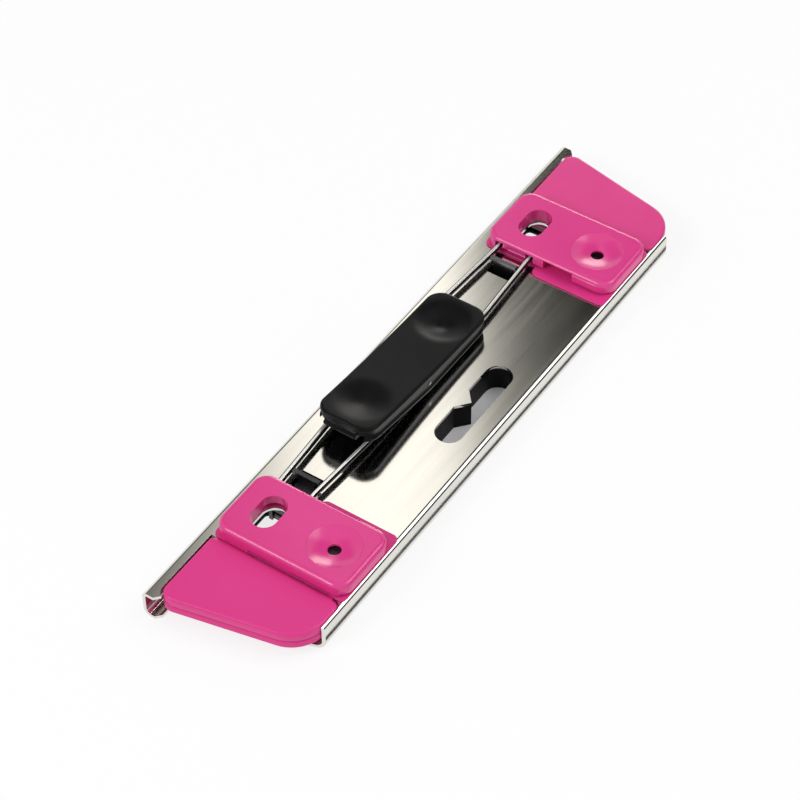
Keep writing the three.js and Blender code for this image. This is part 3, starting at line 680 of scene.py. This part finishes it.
pad_profile = round_foot(pad_under, pad_foot_edge) + [
    (0, groove_z - groove_half),
    (groove_depth, groove_z - groove_half / 2),
    (groove_depth, groove_z + groove_half / 2),
    (0, groove_z + groove_half),
] + round_top(pad_top, pad_edge)
for side, sign in (("left", -1), ("right", 1)):
    pad = moulding(f"end_pad_{side}_moulding", pad_corners(sign, 0, 0, pad_radii), pad_profile)
    tongue = box_outline(sign * tongue_inner_x, sign * (pad_inner_x + tongue_lap), *tongue_y)
    tongue_top = plate_top - sheet_thick - tongue_slack
    carve(pad, prism("tongue", tongue, pad_under + tongue_lift, tongue_top), operation="UNION")
    lip = box_outline(sign * lip_inner_x, sign * (pad_inner_x + lip_width), *lip_y)
    carve(pad, prism("lip", lip, pad_under + lip_lift, pad_top), operation="UNION")
    soften(pad)
    paint(pad, pink)
    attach(pad, "base")
    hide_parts(f"end_pad_{side}")


# Paper beds: thin pink plastic plates held down on the steel by the blocks, with a foot that
# shows at the blocks' inner front. The sheet of paper slides over them.
bed_inner_x = 31.1
bed_outer_x = 47.0
bed_corner = 1.2
block_inner_x = 33.05
block_outer_x = 46.9
block_front_y = -13.65
block_rear_y = 11.75
foot_rear_y = 1.05
bed_under = plate_top + 0.05
bed_top = plate_top + 0.3
bed_edge = 0.04

for side, sign in (("left", -1), ("right", 1)):
    corners = [
        (sign * bed_inner_x, block_front_y, bed_corner),
        (sign * bed_outer_x, block_front_y, bed_corner),
        (sign * bed_outer_x, block_rear_y, bed_corner),
        (sign * block_inner_x, block_rear_y, bed_corner),
        (sign * block_inner_x, foot_rear_y, 0),
        (sign * bed_inner_x, foot_rear_y, bed_corner),
    ]
    bed_profile = [(0, bed_under)] + round_top(bed_top, bed_edge, 3)
    bed = moulding(f"paper_bed_{side}_plate", corners, bed_profile)
    ring_hole = obround(sign * hole_x, ring_y, ring_hole_length, ring_hole_width)
    punch_hole = ring(sign * hole_x, punch_y, punch_hole_radius)
    carve(
        bed,
        prism("ring_hole", ring_hole, bed_under - past, bed_top + past),
        prism("punch_hole", punch_hole, bed_under - past, bed_top + past),
    )
    soften(bed)
    paint(bed, pink)
    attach(bed, "base")
    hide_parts(f"paper_bed_{side}")


# Punch blocks: glossy pink mouldings screwed down from below. Each has an oval hole for the
# binder's ring, a dish with a peep hole over the die, a paper slot and a chad window.
block_floor = plate_top + 0.31
block_top = plate_top + 2.92
block_corner = 2.7
block_edge = 0.9
block_foot_edge = 0.04
block_broken_edge = 0.16
stop_y = 4.85
slot_top = plate_top + 0.75
mouth_top = plate_top + 0.48
mouth_wall = 0.5
mouth_gaps_y = ((0.0, stop_y), (-11.1, -3.5))
die_half = 4.0
die_top = plate_top + 1.2
chad_radius = 3.1
chad_top = plate_top + 1.5
chad_window_y = (punch_y + 0.9, punch_y + 6.8)
chad_window_z = (slot_top - 0.1, plate_top + 2.4)
chad_window_depth = 2.4
rail_end_y = 3.1
notch_half = 0.8
notch_x = 35.1
notch_top = plate_top + 2.2
arch_half = 2.4
arch_top = plate_top + 1.2
dish_radius = 4.65
dish_depth = 1.1
dish_spread = 1.04
peep_radius = 1.15

block_pink = pink_finish("glossy_pink_plastic", (0.18, 0.26), 0.5)


def dish_tool(x, y, z, radius, depth, rings=14, count=64):
    """A solid that scoops a round dish, part of a ball, out of a face at height z."""
    ball = (radius * radius + depth * depth) / (2 * depth)
    shape = bmesh.new()
    tip = shape.verts.new(Vector((x, y, z - depth)) * mm)
    rows = []
    heights = []
    for row in range(1, rings + 1):
        out = radius * row / rings * dish_spread
        heights.append((out, ball - depth - math.sqrt(ball * ball - out * out)))
    heights.append((radius * dish_spread, past))
    for out, height in heights:
        rows.append([
            shape.verts.new(Vector((
                x + out * math.cos(2 * math.pi * i / count),
                y + out * math.sin(2 * math.pi * i / count),
                z + height,
            )) * mm)
            for i in range(count)
        ])
    for i in range(count):
        shape.faces.new((tip, rows[0][i], rows[0][(i + 1) % count]))
    for low, high in zip(rows, rows[1:]):
        for i in range(count):
            j = (i + 1) % count
            shape.faces.new((low[i], high[i], high[j], low[j]))
    shape.faces.new(rows[-1])
    bmesh.ops.recalc_face_normals(shape, faces=shape.faces)
    return mesh_object("dish", shape)


for side, sign in (("left", -1), ("right", 1)):
    inside = sign * (block_inner_x - past)
    outside = sign * (block_outer_x + past)
    below = block_floor - past
    above = block_top + past
    middle = sign * hole_x
    body = moulding(
        f"punch_block_{side}_moulding",
        box_corners(
            sign * block_inner_x, sign * block_outer_x, block_front_y, block_rear_y, block_corner,
        ),
        round_foot(block_floor, block_foot_edge, 2) + round_top(block_top, block_edge, 8),
    )
    slot = box_outline(inside, sign * (block_outer_x - mouth_wall), block_front_y - past, stop_y)
    mouth = box_outline(sign * (block_outer_x - past), outside, block_front_y - past, stop_y)
    ring_hole = obround(middle, ring_y, ring_hole_length, ring_hole_width)
    arch = box_outline(inside, middle, ring_y - arch_half, ring_y + arch_half)
    die_seat = box_outline(middle - die_half, middle + die_half, punch_y - die_half, punch_y + die_half)
    chad_window = box_outline(inside, sign * (block_inner_x + chad_window_depth), *chad_window_y)
    tools = [
        prism("slot", slot, below, slot_top),
        prism("mouth", mouth, below, mouth_top),
        prism("ring_hole", ring_hole, below, above),
        prism("arch", arch, below, arch_top),
        prism("die_seat", die_seat, below, die_top),
        prism("chad_room", ring(middle, punch_y, chad_radius), below, chad_top),
        prism("chad_window", chad_window, *chad_window_z),
        prism("peep", ring(middle, punch_y, peep_radius), die_top, above),
        dish_tool(middle, punch_y, block_top, dish_radius, dish_depth),
    ]
    for gap_low, gap_high in mouth_gaps_y:
        gap = box_outline(sign * (block_outer_x - past), outside, gap_low, gap_high)
        tools.append(prism("mouth_gap", gap, below, slot_top))
    for rail_side in (-1, 1):
        y = ring_y + rail_side * rail_end_y
        notch = box_outline(inside, sign * notch_x, y - notch_half, y + notch_half)
        tools.append(prism("notch", notch, below, notch_top))
    carve(body, *tools)
    soften(body, block_broken_edge, steps=3, angle=40)
    paint(body, block_pink)
    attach(body, "base")
    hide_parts(f"punch_block_{side}")


# Rails: two steel strips that spread under the grip and enter the blocks' notches. Both upper
# edges are chamfered, with a narrow top between them, and a web stiffens each from below between
# the blocks. Their colour is painted by height: the narrow top is a painted highlight and all
# below it, chamfers, sides and web, is painted dark reflection.
rail_under = plate_top + 1.2
rail_top = plate_top + 1.8
rail_half = 0.5
rail_edge = 0.1
rail_chamfer = 0.3
highlight_band = 0.1
rail_stations = [(34.8, 3.1), (32.0, 3.1), (18.0, 3.9)]
web_under = plate_top + 0.94
web_half = 0.4
web_stations = [(30.6, 3.18), (18.0, 3.9)]

rail_painted_highlight = linear(240, 239, 235)
rail_painted_highlight_dim = linear(214, 213, 210)
rail_painted_dark_reflection = linear(34, 34, 36)
strip, strip_tree, strip_shader, strip_lines = finish(
    "strip_with_painted_light", 0.6, None,
    cloud=None, grain=(1400, 3, (0.03, 1.0, 1.0)), gloss=(0.12, 0.22), relief=(0.004, 0.3),
)
strip_coords = strip_tree.nodes.new("ShaderNodeTexCoord")
strip_parts = add_node(strip_tree, "ShaderNodeSeparateXYZ", ((0, strip_coords.outputs["Object"]),))
# Painted light by height: the top band is a painted highlight, everything lower a painted dark
# reflection.
painted_highlight_rise = add_node(strip_tree, "ShaderNodeMapRange", (
    ("Value", strip_parts.outputs["Z"]),
    ("From Min", (rail_top - highlight_band) * mm),
    ("From Max", (rail_top - highlight_band / 3) * mm),
))
strip_marks = span_value(strip_tree, strip_lines, 0.7, 1.0)
painted_light_tint = ramp(
    strip_tree, reckon(strip_tree, "MULTIPLY", painted_highlight_rise.outputs[0], strip_marks),
    [(0.1, rail_painted_dark_reflection), (0.75, rail_painted_highlight_dim), (0.9, rail_painted_highlight)],
)
strip_tree.links.new(painted_light_tint, strip_shader.inputs["Base Color"])


def rail_outline(stations, rail_side, half_width):
    line = [(-x, y) for x, y in stations] + [(x, y) for x, y in reversed(stations)]
    near = [(x, ring_y + rail_side * (y - half_width), 0) for x, y in line]
    far = [(x, ring_y + rail_side * (y + half_width), 0) for x, y in reversed(line)]
    return near + far


rail_profile = round_foot(rail_under, rail_edge, 4) + [
    (0, rail_top - rail_chamfer),
    (rail_chamfer, rail_top - rail_edge / 4),
    (rail_chamfer + rail_edge / 2, rail_top),
]
web_profile = [(0, web_under), (0, rail_under + rail_chamfer)]
for name, node, rail_side in (("front", "front_rail", -1), ("rear", "rear_rail", 1)):
    outline = rail_outline(rail_stations, rail_side, rail_half)
    rail = moulding(f"{name}_rail_strip", outline, rail_profile)
    web = moulding("web", rail_outline(web_stations, rail_side, web_half), web_profile)
    carve(rail, web, operation="UNION")
    soften(rail)
    paint(rail, strip)
    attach(rail, "carriage")
    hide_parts(node)


# Grip: a hollow moulding of grained black plastic on a cross pin, with a thumb dish at each
# raised end. Its lower edge climbs to both ends so that it can rock, and it rests one end up.
grip_x = -2.1
grip_y = ring_y - 0.35
grip_pin_z = plate_top + 2.5
grip_length = 36.7
grip_width = 11.2
grip_corner = 3.0
grip_top = 2.3
grip_bottom = -1.55
grip_end_rise = 0.42
grip_edge = 0.5
grip_foot_edge = 0.2
grip_rock = math.radians(4.45)
grip_hollow_half = 11.2
grip_wall = 0.7
grip_roof = 1.4
thumb_x = 12.0
thumb_radius = 5.5
thumb_depths = {-1: 0.8, 1: 1.4}
waist_depth = 0.28
waist_low = (0.75, 1.05)
waist_high = (1.35, 1.05)
rail_way_half = 0.66
rail_way_slack = 0.15
grid_step = 0.5

black_light = linear(13, 12, 15)
black_deep = linear(8, 8, 10)
black = finish(
    "black_plastic", 0.0, [(0.3, black_deep), (0.7, black_light)],
    cloud=(160, 2), grain=(5200, 2), gloss=(0.3, 0.42), relief=(0.02, 0.5), specular=0.09,
)[0]

half = grip_length / 2
half_width = grip_width / 2
depth = grip_top - grip_bottom
rock_slope = math.tan(grip_rock)
grip_profile = round_foot(0, grip_foot_edge, 2) + [
    (0, waist_low[0]),
    (waist_depth, waist_low[1]),
    (waist_depth, depth - waist_high[0]),
    (0, depth - waist_high[1]),
] + round_top(depth, grip_edge, 6)
grip = moulding(
    "grip_moulding", box_corners(-half, half, -half_width, half_width, grip_corner), grip_profile,
)


def smooth(share):
    share = min(max(share, 0.0), 1.0)
    return share * share * (3 - 2 * share)


def grip_crest(x, y):
    """Height of the grip's upper face over its pin, with raised ends and two thumb dishes."""
    height = grip_top + grip_end_rise * (x / half) ** 2
    for end in (-1, 1):
        reach = math.hypot(x - end * thumb_x, y) / thumb_radius
        height -= thumb_depths[end] * (1 - smooth(reach))
    return height


shape = bmesh.new()
shape.from_mesh(grip.data)
for axis, limit in ((0, half), (1, half_width)):
    count = int(2 * limit / grid_step)
    for i in range(1, count):
        normal = Vector((1, 0, 0)) if axis == 0 else Vector((0, 1, 0))
        spot = normal * ((-limit + 2 * limit * i / count) * mm)
        whole = shape.verts[:] + shape.edges[:] + shape.faces[:]
        bmesh.ops.bisect_plane(shape, geom=whole, plane_co=spot, plane_no=normal)
for vert in shape.verts:
    x, y, z = vert.co / mm
    foot = grip_bottom + abs(x) * rock_slope
    vert.co.z = (foot + z / depth * (grip_crest(x, y) - foot)) * mm
shape.to_mesh(grip.data)
shape.free()
hollow_half_width = half_width - grip_wall
hollow = box_outline(-grip_hollow_half, grip_hollow_half, -hollow_half_width, hollow_half_width)
carve(grip, prism("hollow", hollow, grip_bottom - past, grip_top - grip_roof))
way_top = rail_top - grip_pin_z + rail_way_slack
way_reach = half + past
way_outline = [
    (-way_reach, grip_bottom - past),
    (way_reach, grip_bottom - past),
    (way_reach, way_top + way_reach * rock_slope),
    (0, way_top),
    (-way_reach, way_top + way_reach * rock_slope),
]
for rail_side in (-1, 1):
    y = rail_side * rail_stations[2][1] + ring_y - grip_y
    carve(grip, prism("rail_way", way_outline, y - rail_way_half, y + rail_way_half, "Y"))
grip_pin = Matrix.Translation(Vector((grip_x, grip_y, grip_pin_z)) * mm)
grip.data.transform(grip_pin @ Matrix.Rotation(grip_rock, 4, "Y"))
soften(grip)
paint(grip, black)
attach(grip, "grip")
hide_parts("grip")


# Inner steelwork: levers, brackets, pins, punches, dies, leg plates and the grip's carrier.
# These are stamped or turned, oiled and left plain, and keep the shape that the frame gives.
# The levers, brackets, pins, leg plates and carrier are coloured a dark steel, a painted shade
# for the inside of the body where they sit.
shaded_steel_light = linear(104, 104, 107)
shaded_steel_dark = linear(70, 70, 74)
# The dark steel colour is painted shade for the parts that sit inside the body.
plain = finish(
    "painted_shade_steel", 1.0, [(0.3, shaded_steel_dark), (0.7, shaded_steel_light)],
    cloud=(220, 4), grain=(220, 4), gloss=(0.26, 0.42), relief=(0.01, 0.3),
)[0]
ground_light = linear(206, 208, 211)
ground_dark = linear(176, 178, 182)
ground_lines = (1100, 3, (1.0, 0.05, 1.0))
ground = finish(
    "ground_steel", 1.0, [(0.3, ground_dark), (0.7, ground_light)],
    cloud=ground_lines, grain=ground_lines, gloss=(0.28, 0.4), relief=(0.006, 0.3),
)[0]

for side in ("left", "right"):
    for node in ("rocker_lever", "lever_bracket", "pivot_pin", "leg_plate"):
        paint(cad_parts[f"{node}_{side}"], plain)
    for node in ("die_plate", "punch_pin"):
        paint(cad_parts[f"{node}_{side}"], ground)
paint(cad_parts["grip_carrier"], plain)
paint(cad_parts["grip_pin"], plain)
paint(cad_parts["bottom_cover"], black)


# Return springs: two coils of hard-drawn wire with closed ends. They stand on the bottom
# cover, come up through the sheet and push the grip's carrier back after each stroke.
spring_low, spring_high = (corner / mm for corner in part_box("return_spring_right"))
spring_wire = 0.25
spring_coil = 1.8
spring_curls = 5.0
spring_closed = 1.0
spring_points = 420
spring_wire_sides = 12

wire_light = linear(196, 195, 193)
wire_dark = linear(150, 150, 152)
wire_marks = (600, 3, (1.0, 1.0, 3.0))
wire = finish(
    "spring_wire", 1.0, [(0.3, wire_dark), (0.7, wire_light)],
    cloud=wire_marks, grain=wire_marks, gloss=(0.2, 0.32), relief=(0.006, 0.3),
)[0]


def new_tree(name, inputs):
    """A geometry tree with the named inputs; returns it with its ends."""
    tree = bpy.data.node_groups.new(name, "GeometryNodeTree")
    tree.interface.new_socket("Geometry", in_out="OUTPUT", socket_type="NodeSocketGeometry")
    for label, kind in inputs:
        tree.interface.new_socket(label, in_out="INPUT", socket_type=kind)
    return tree, tree.nodes.new("NodeGroupInput").outputs, tree.nodes.new("NodeGroupOutput").inputs


def close_tree(tree, shape, material, end):
    """Smooth shading, real geometry and the finish, which end every tree."""
    even = add_node(tree, "GeometryNodeSetShadeSmooth", ((0, shape),))
    real = add_node(tree, "GeometryNodeRealizeInstances", ((0, even.outputs[0]),))
    painted = add_node(tree, "GeometryNodeSetMaterial", ((0, real.outputs[0]), ("Material", material)))
    tree.links.new(painted.outputs[0], end[0])


def grow(name, tree, values, spots=((0, 0, 0),)):
    """The tree's shape as a plain mesh, grown on points that stand at the given spots."""
    seed = bpy.data.meshes.new(name)
    seed.from_pydata([tuple(value * mm for value in spot) for spot in spots], [], [])
    thing = bpy.data.objects.new(name, seed)
    bpy.context.scene.collection.objects.link(thing)
    modifier = thing.modifiers.new(name, "NODES")
    modifier.node_group = tree
    for item in tree.interface.items_tree:
        if item.in_out == "INPUT" and item.name in values:
            modifier[item.identifier] = values[item.name]
    bake(thing)
    thing.data.name = name
    clean = bmesh.new()
    clean.from_mesh(thing.data)
    bmesh.ops.recalc_face_normals(clean, faces=clean.faces)
    clean.to_mesh(thing.data)
    clean.free()
    return thing


coil, coil_in, coil_out = new_tree("wound_spring", (
    ("Curls", "NodeSocketFloat"),
    ("Closed curls", "NodeSocketFloat"),
    ("Coil radius", "NodeSocketFloat"),
    ("Wire radius", "NodeSocketFloat"),
    ("Height", "NodeSocketFloat"),
    ("Place", "NodeSocketVector"),
    ("Material", "NodeSocketMaterial"),
))
line = add_node(coil, "GeometryNodeCurvePrimitiveLine")
path = add_node(coil, "GeometryNodeResampleCurve", ((0, line.outputs[0]), ("Count", spring_points)))
along = coil.nodes.new("GeometryNodeSplineParameter").outputs["Factor"]
curls = reckon(coil, "ADD", coil_in["Curls"], reckon(coil, "MULTIPLY", coil_in["Closed curls"], 2.0))
turn = reckon(coil, "MULTIPLY", reckon(coil, "MULTIPLY", along, curls), math.tau)
first = reckon(coil, "DIVIDE", coil_in["Closed curls"], curls)
last = reckon(coil, "SUBTRACT", 1.0, first)
wire_width = reckon(coil, "MULTIPLY", coil_in["Wire radius"], 2.0)
lap = reckon(coil, "MULTIPLY", wire_width, coil_in["Closed curls"])
open_rise = reckon(coil, "SUBTRACT", coil_in["Height"], reckon(coil, "MULTIPLY", lap, 2.0))
rise = 0.0
for start, end, climb in ((0.0, first, lap), (first, last, open_rise), (last, 1.0, lap)):
    step = add_node(coil, "ShaderNodeMapRange", (
        ("Value", along), ("From Min", start), ("From Max", end), ("To Min", 0.0), ("To Max", climb),
    ))
    rise = reckon(coil, "ADD", rise, step.outputs[0])
spot = add_node(coil, "ShaderNodeCombineXYZ", (
    (0, reckon(coil, "MULTIPLY", reckon(coil, "COSINE", turn), coil_in["Coil radius"])),
    (1, reckon(coil, "MULTIPLY", reckon(coil, "SINE", turn), coil_in["Coil radius"])),
    (2, rise),
))
wound = add_node(coil, "GeometryNodeSetPosition", ((0, path.outputs[0]), ("Position", spot.outputs[0])))
round_wire = add_node(coil, "GeometryNodeCurvePrimitiveCircle", (
    ("Resolution", spring_wire_sides), ("Radius", coil_in["Wire radius"]),
))
swept = add_node(coil, "GeometryNodeCurveToMesh", (
    ("Curve", wound.outputs[0]), ("Profile Curve", round_wire.outputs[0]), ("Fill Caps", True),
))
placed = add_node(coil, "GeometryNodeTransform", (
    (0, swept.outputs[0]), ("Translation", coil_in["Place"]),
))
close_tree(coil, placed.outputs[0], coil_in["Material"], coil_out)

for side, sign in (("left", -1), ("right", 1)):
    foot = Vector((sign * spring_x, ring_y, spring_low.z + spring_wire)) * mm
    spring = grow(f"return_spring_{side}_coil", coil, {
        "Curls": spring_curls,
        "Closed curls": spring_closed,
        "Coil radius": spring_coil * mm,
        "Wire radius": spring_wire * mm,
        "Height": (spring_high.z - spring_low.z - 2 * spring_wire) * mm,
        "Place": foot,
        "Material": wire,
    })
    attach(spring, "base")
    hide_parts(f"return_spring_{side}")
    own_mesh(spring)


# Screws and rivets: cross-recessed screws come up from below into the blocks, and domed rivets
# hold the pads and brackets to the sheet. They are turned or headed from steel and zinc plated.
screw_size = {"Head radius": 1.3, "Head height": 0.6, "Shank radius": 0.7}
rivet_size = {"Head radius": 1.0, "Head height": 0.4, "Shank radius": 0.6}
thread_pitch = 0.35
thread_root = 0.84
thread_width = 0.8
head_taper = 0.82
recess_length = 1.15
recess_width = 0.24
recess_depth = 1.1
recess_drop = -0.1
shank_length = 0.98
shank_start = 0.55
head_sides = 32
shank_sides = 24

zinc_light = linear(190, 191, 193)
zinc_dark = linear(148, 150, 153)
zinc = finish(
    "zinc_plate", 1.0, [(0.3, zinc_dark), (0.7, zinc_light)],
    cloud=(900,), grain=(900,), gloss=(0.22, 0.36), relief=(0.006, 0.3),
)[0]

fastener_inputs = (
    ("Spots", "NodeSocketGeometry"),
    ("Head radius", "NodeSocketFloat"),
    ("Head height", "NodeSocketFloat"),
    ("Shank radius", "NodeSocketFloat"),
    ("Length", "NodeSocketFloat"),
    ("Material", "NodeSocketMaterial"),
)


def times(tree, value, share):
    return reckon(tree, "MULTIPLY", value, share)


def raised(tree, shape, height):
    lift = add_node(tree, "ShaderNodeCombineXYZ", ((2, height),))
    moved = add_node(tree, "GeometryNodeTransform", ((0, shape), ("Translation", lift.outputs[0])))
    return moved.outputs[0]


def set_out(tree, shapes, start, end):
    """Joins the shapes, sets them on every spot and closes the tree."""
    whole = tree.nodes.new("GeometryNodeJoinGeometry")
    for shape in shapes:
        tree.links.new(shape, whole.inputs[0])
    fasteners = add_node(tree, "GeometryNodeInstanceOnPoints", (
        ("Points", start["Spots"]), ("Instance", whole.outputs[0]),
    ))
    close_tree(tree, fasteners.outputs[0], start["Material"], end)


screw, screw_in, screw_out = new_tree("cross_screw", (*fastener_inputs, ("Pitch", "NodeSocketFloat")))
head = add_node(screw, "GeometryNodeMeshCone", (
    ("Vertices", head_sides),
    ("Radius Top", screw_in["Head radius"]),
    ("Radius Bottom", times(screw, screw_in["Head radius"], head_taper)),
    ("Depth", screw_in["Head height"]),
))
recessed = add_node(screw, "GeometryNodeMeshBoolean", ((0, head.outputs[0]),), operation="DIFFERENCE")
bar_length = times(screw, screw_in["Head radius"], recess_length)
bar_width = times(screw, screw_in["Head radius"], recess_width)
bar_depth = times(screw, screw_in["Head height"], recess_depth)
bar_drop = times(screw, screw_in["Head height"], recess_drop)
for size_x, size_y in ((bar_length, bar_width), (bar_width, bar_length)):
    size = add_node(screw, "ShaderNodeCombineXYZ", ((0, size_x), (1, size_y), (2, bar_depth)))
    bar = add_node(screw, "GeometryNodeMeshCube", (("Size", size.outputs[0]),))
    screw.links.new(raised(screw, bar.outputs[0], bar_drop), recessed.inputs[1])
root = times(screw, screw_in["Shank radius"], thread_root)
shank = add_node(screw, "GeometryNodeMeshCylinder", (
    ("Vertices", shank_sides),
    ("Radius", root),
    ("Depth", times(screw, screw_in["Length"], shank_length)),
))
shank_middle = reckon(
    screw, "ADD",
    times(screw, screw_in["Length"], shank_length / 2),
    times(screw, screw_in["Head height"], shank_start),
)
ridge = add_node(screw, "GeometryNodeMeshCone", (
    ("Vertices", shank_sides),
    ("Radius Top", root),
    ("Radius Bottom", screw_in["Shank radius"]),
    ("Depth", times(screw, screw_in["Pitch"], thread_width)),
))
pitch_up = add_node(screw, "ShaderNodeCombineXYZ", ((2, screw_in["Pitch"]),))
ridge_first = add_node(screw, "ShaderNodeCombineXYZ", ((2, screw_in["Head height"]),))
turns = reckon(screw, "DIVIDE", screw_in["Length"], screw_in["Pitch"])
ridge_line = add_node(screw, "GeometryNodeMeshLine", (
    ("Count", reckon(screw, "FLOOR", reckon(screw, "SUBTRACT", turns, 1.0))),
    ("Start Location", ridge_first.outputs[0]),
    ("Offset", pitch_up.outputs[0]),
))
ridges = add_node(screw, "GeometryNodeInstanceOnPoints", (
    ("Points", ridge_line.outputs[0]), ("Instance", ridge.outputs[0]),
))
screw_shapes = (recessed.outputs[0], raised(screw, shank.outputs[0], shank_middle), ridges.outputs[0])
set_out(screw, screw_shapes, screw_in, screw_out)

rivet, rivet_in, rivet_out = new_tree("domed_rivet", fastener_inputs)
ball = add_node(rivet, "GeometryNodeMeshUVSphere", (
    ("Segments", head_sides), ("Rings", head_sides // 2), ("Radius", rivet_in["Head radius"]),
))
flatness = reckon(rivet, "DIVIDE", rivet_in["Head height"], rivet_in["Head radius"])
flat = add_node(rivet, "ShaderNodeCombineXYZ", ((0, 1.0), (1, 1.0), (2, flatness)))
dome = add_node(rivet, "GeometryNodeTransform", ((0, ball.outputs[0]), ("Scale", flat.outputs[0])))
stem = add_node(rivet, "GeometryNodeMeshCylinder", (
    ("Vertices", shank_sides), ("Radius", rivet_in["Shank radius"]), ("Depth", rivet_in["Length"]),
))
stem_up = raised(rivet, stem.outputs[0], times(rivet, rivet_in["Length"], 0.5))
set_out(rivet, (dome.outputs[0], stem_up), rivet_in, rivet_out)

for name, node, tree, size, head_above in (
    ("block_screws_inner", "block_screw_inner", screw, screw_size, 0.5),
    ("block_screws_outer", "block_screw_outer", screw, screw_size, 0.5),
    ("pad_rivets", "pad_rivet", rivet, rivet_size, 1.0),
    ("bracket_rivets", "bracket_rivet", rivet, rivet_size, 1.0),
):
    head_height = size["Head height"]
    spots = []
    for side in ("left", "right"):
        low, high = (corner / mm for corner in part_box(f"{node}_{side}"))
        spots.append(((low.x + high.x) / 2, (low.y + high.y) / 2, low.z + head_height * head_above))
    values = {label: value * mm for label, value in size.items()}
    values["Length"] = (high.z - low.z - head_height) * mm
    values["Pitch"] = thread_pitch * mm
    values["Material"] = zinc
    group = grow(name, tree, values, spots)
    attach(group, "base")
    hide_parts(f"{node}_left", f"{node}_right")
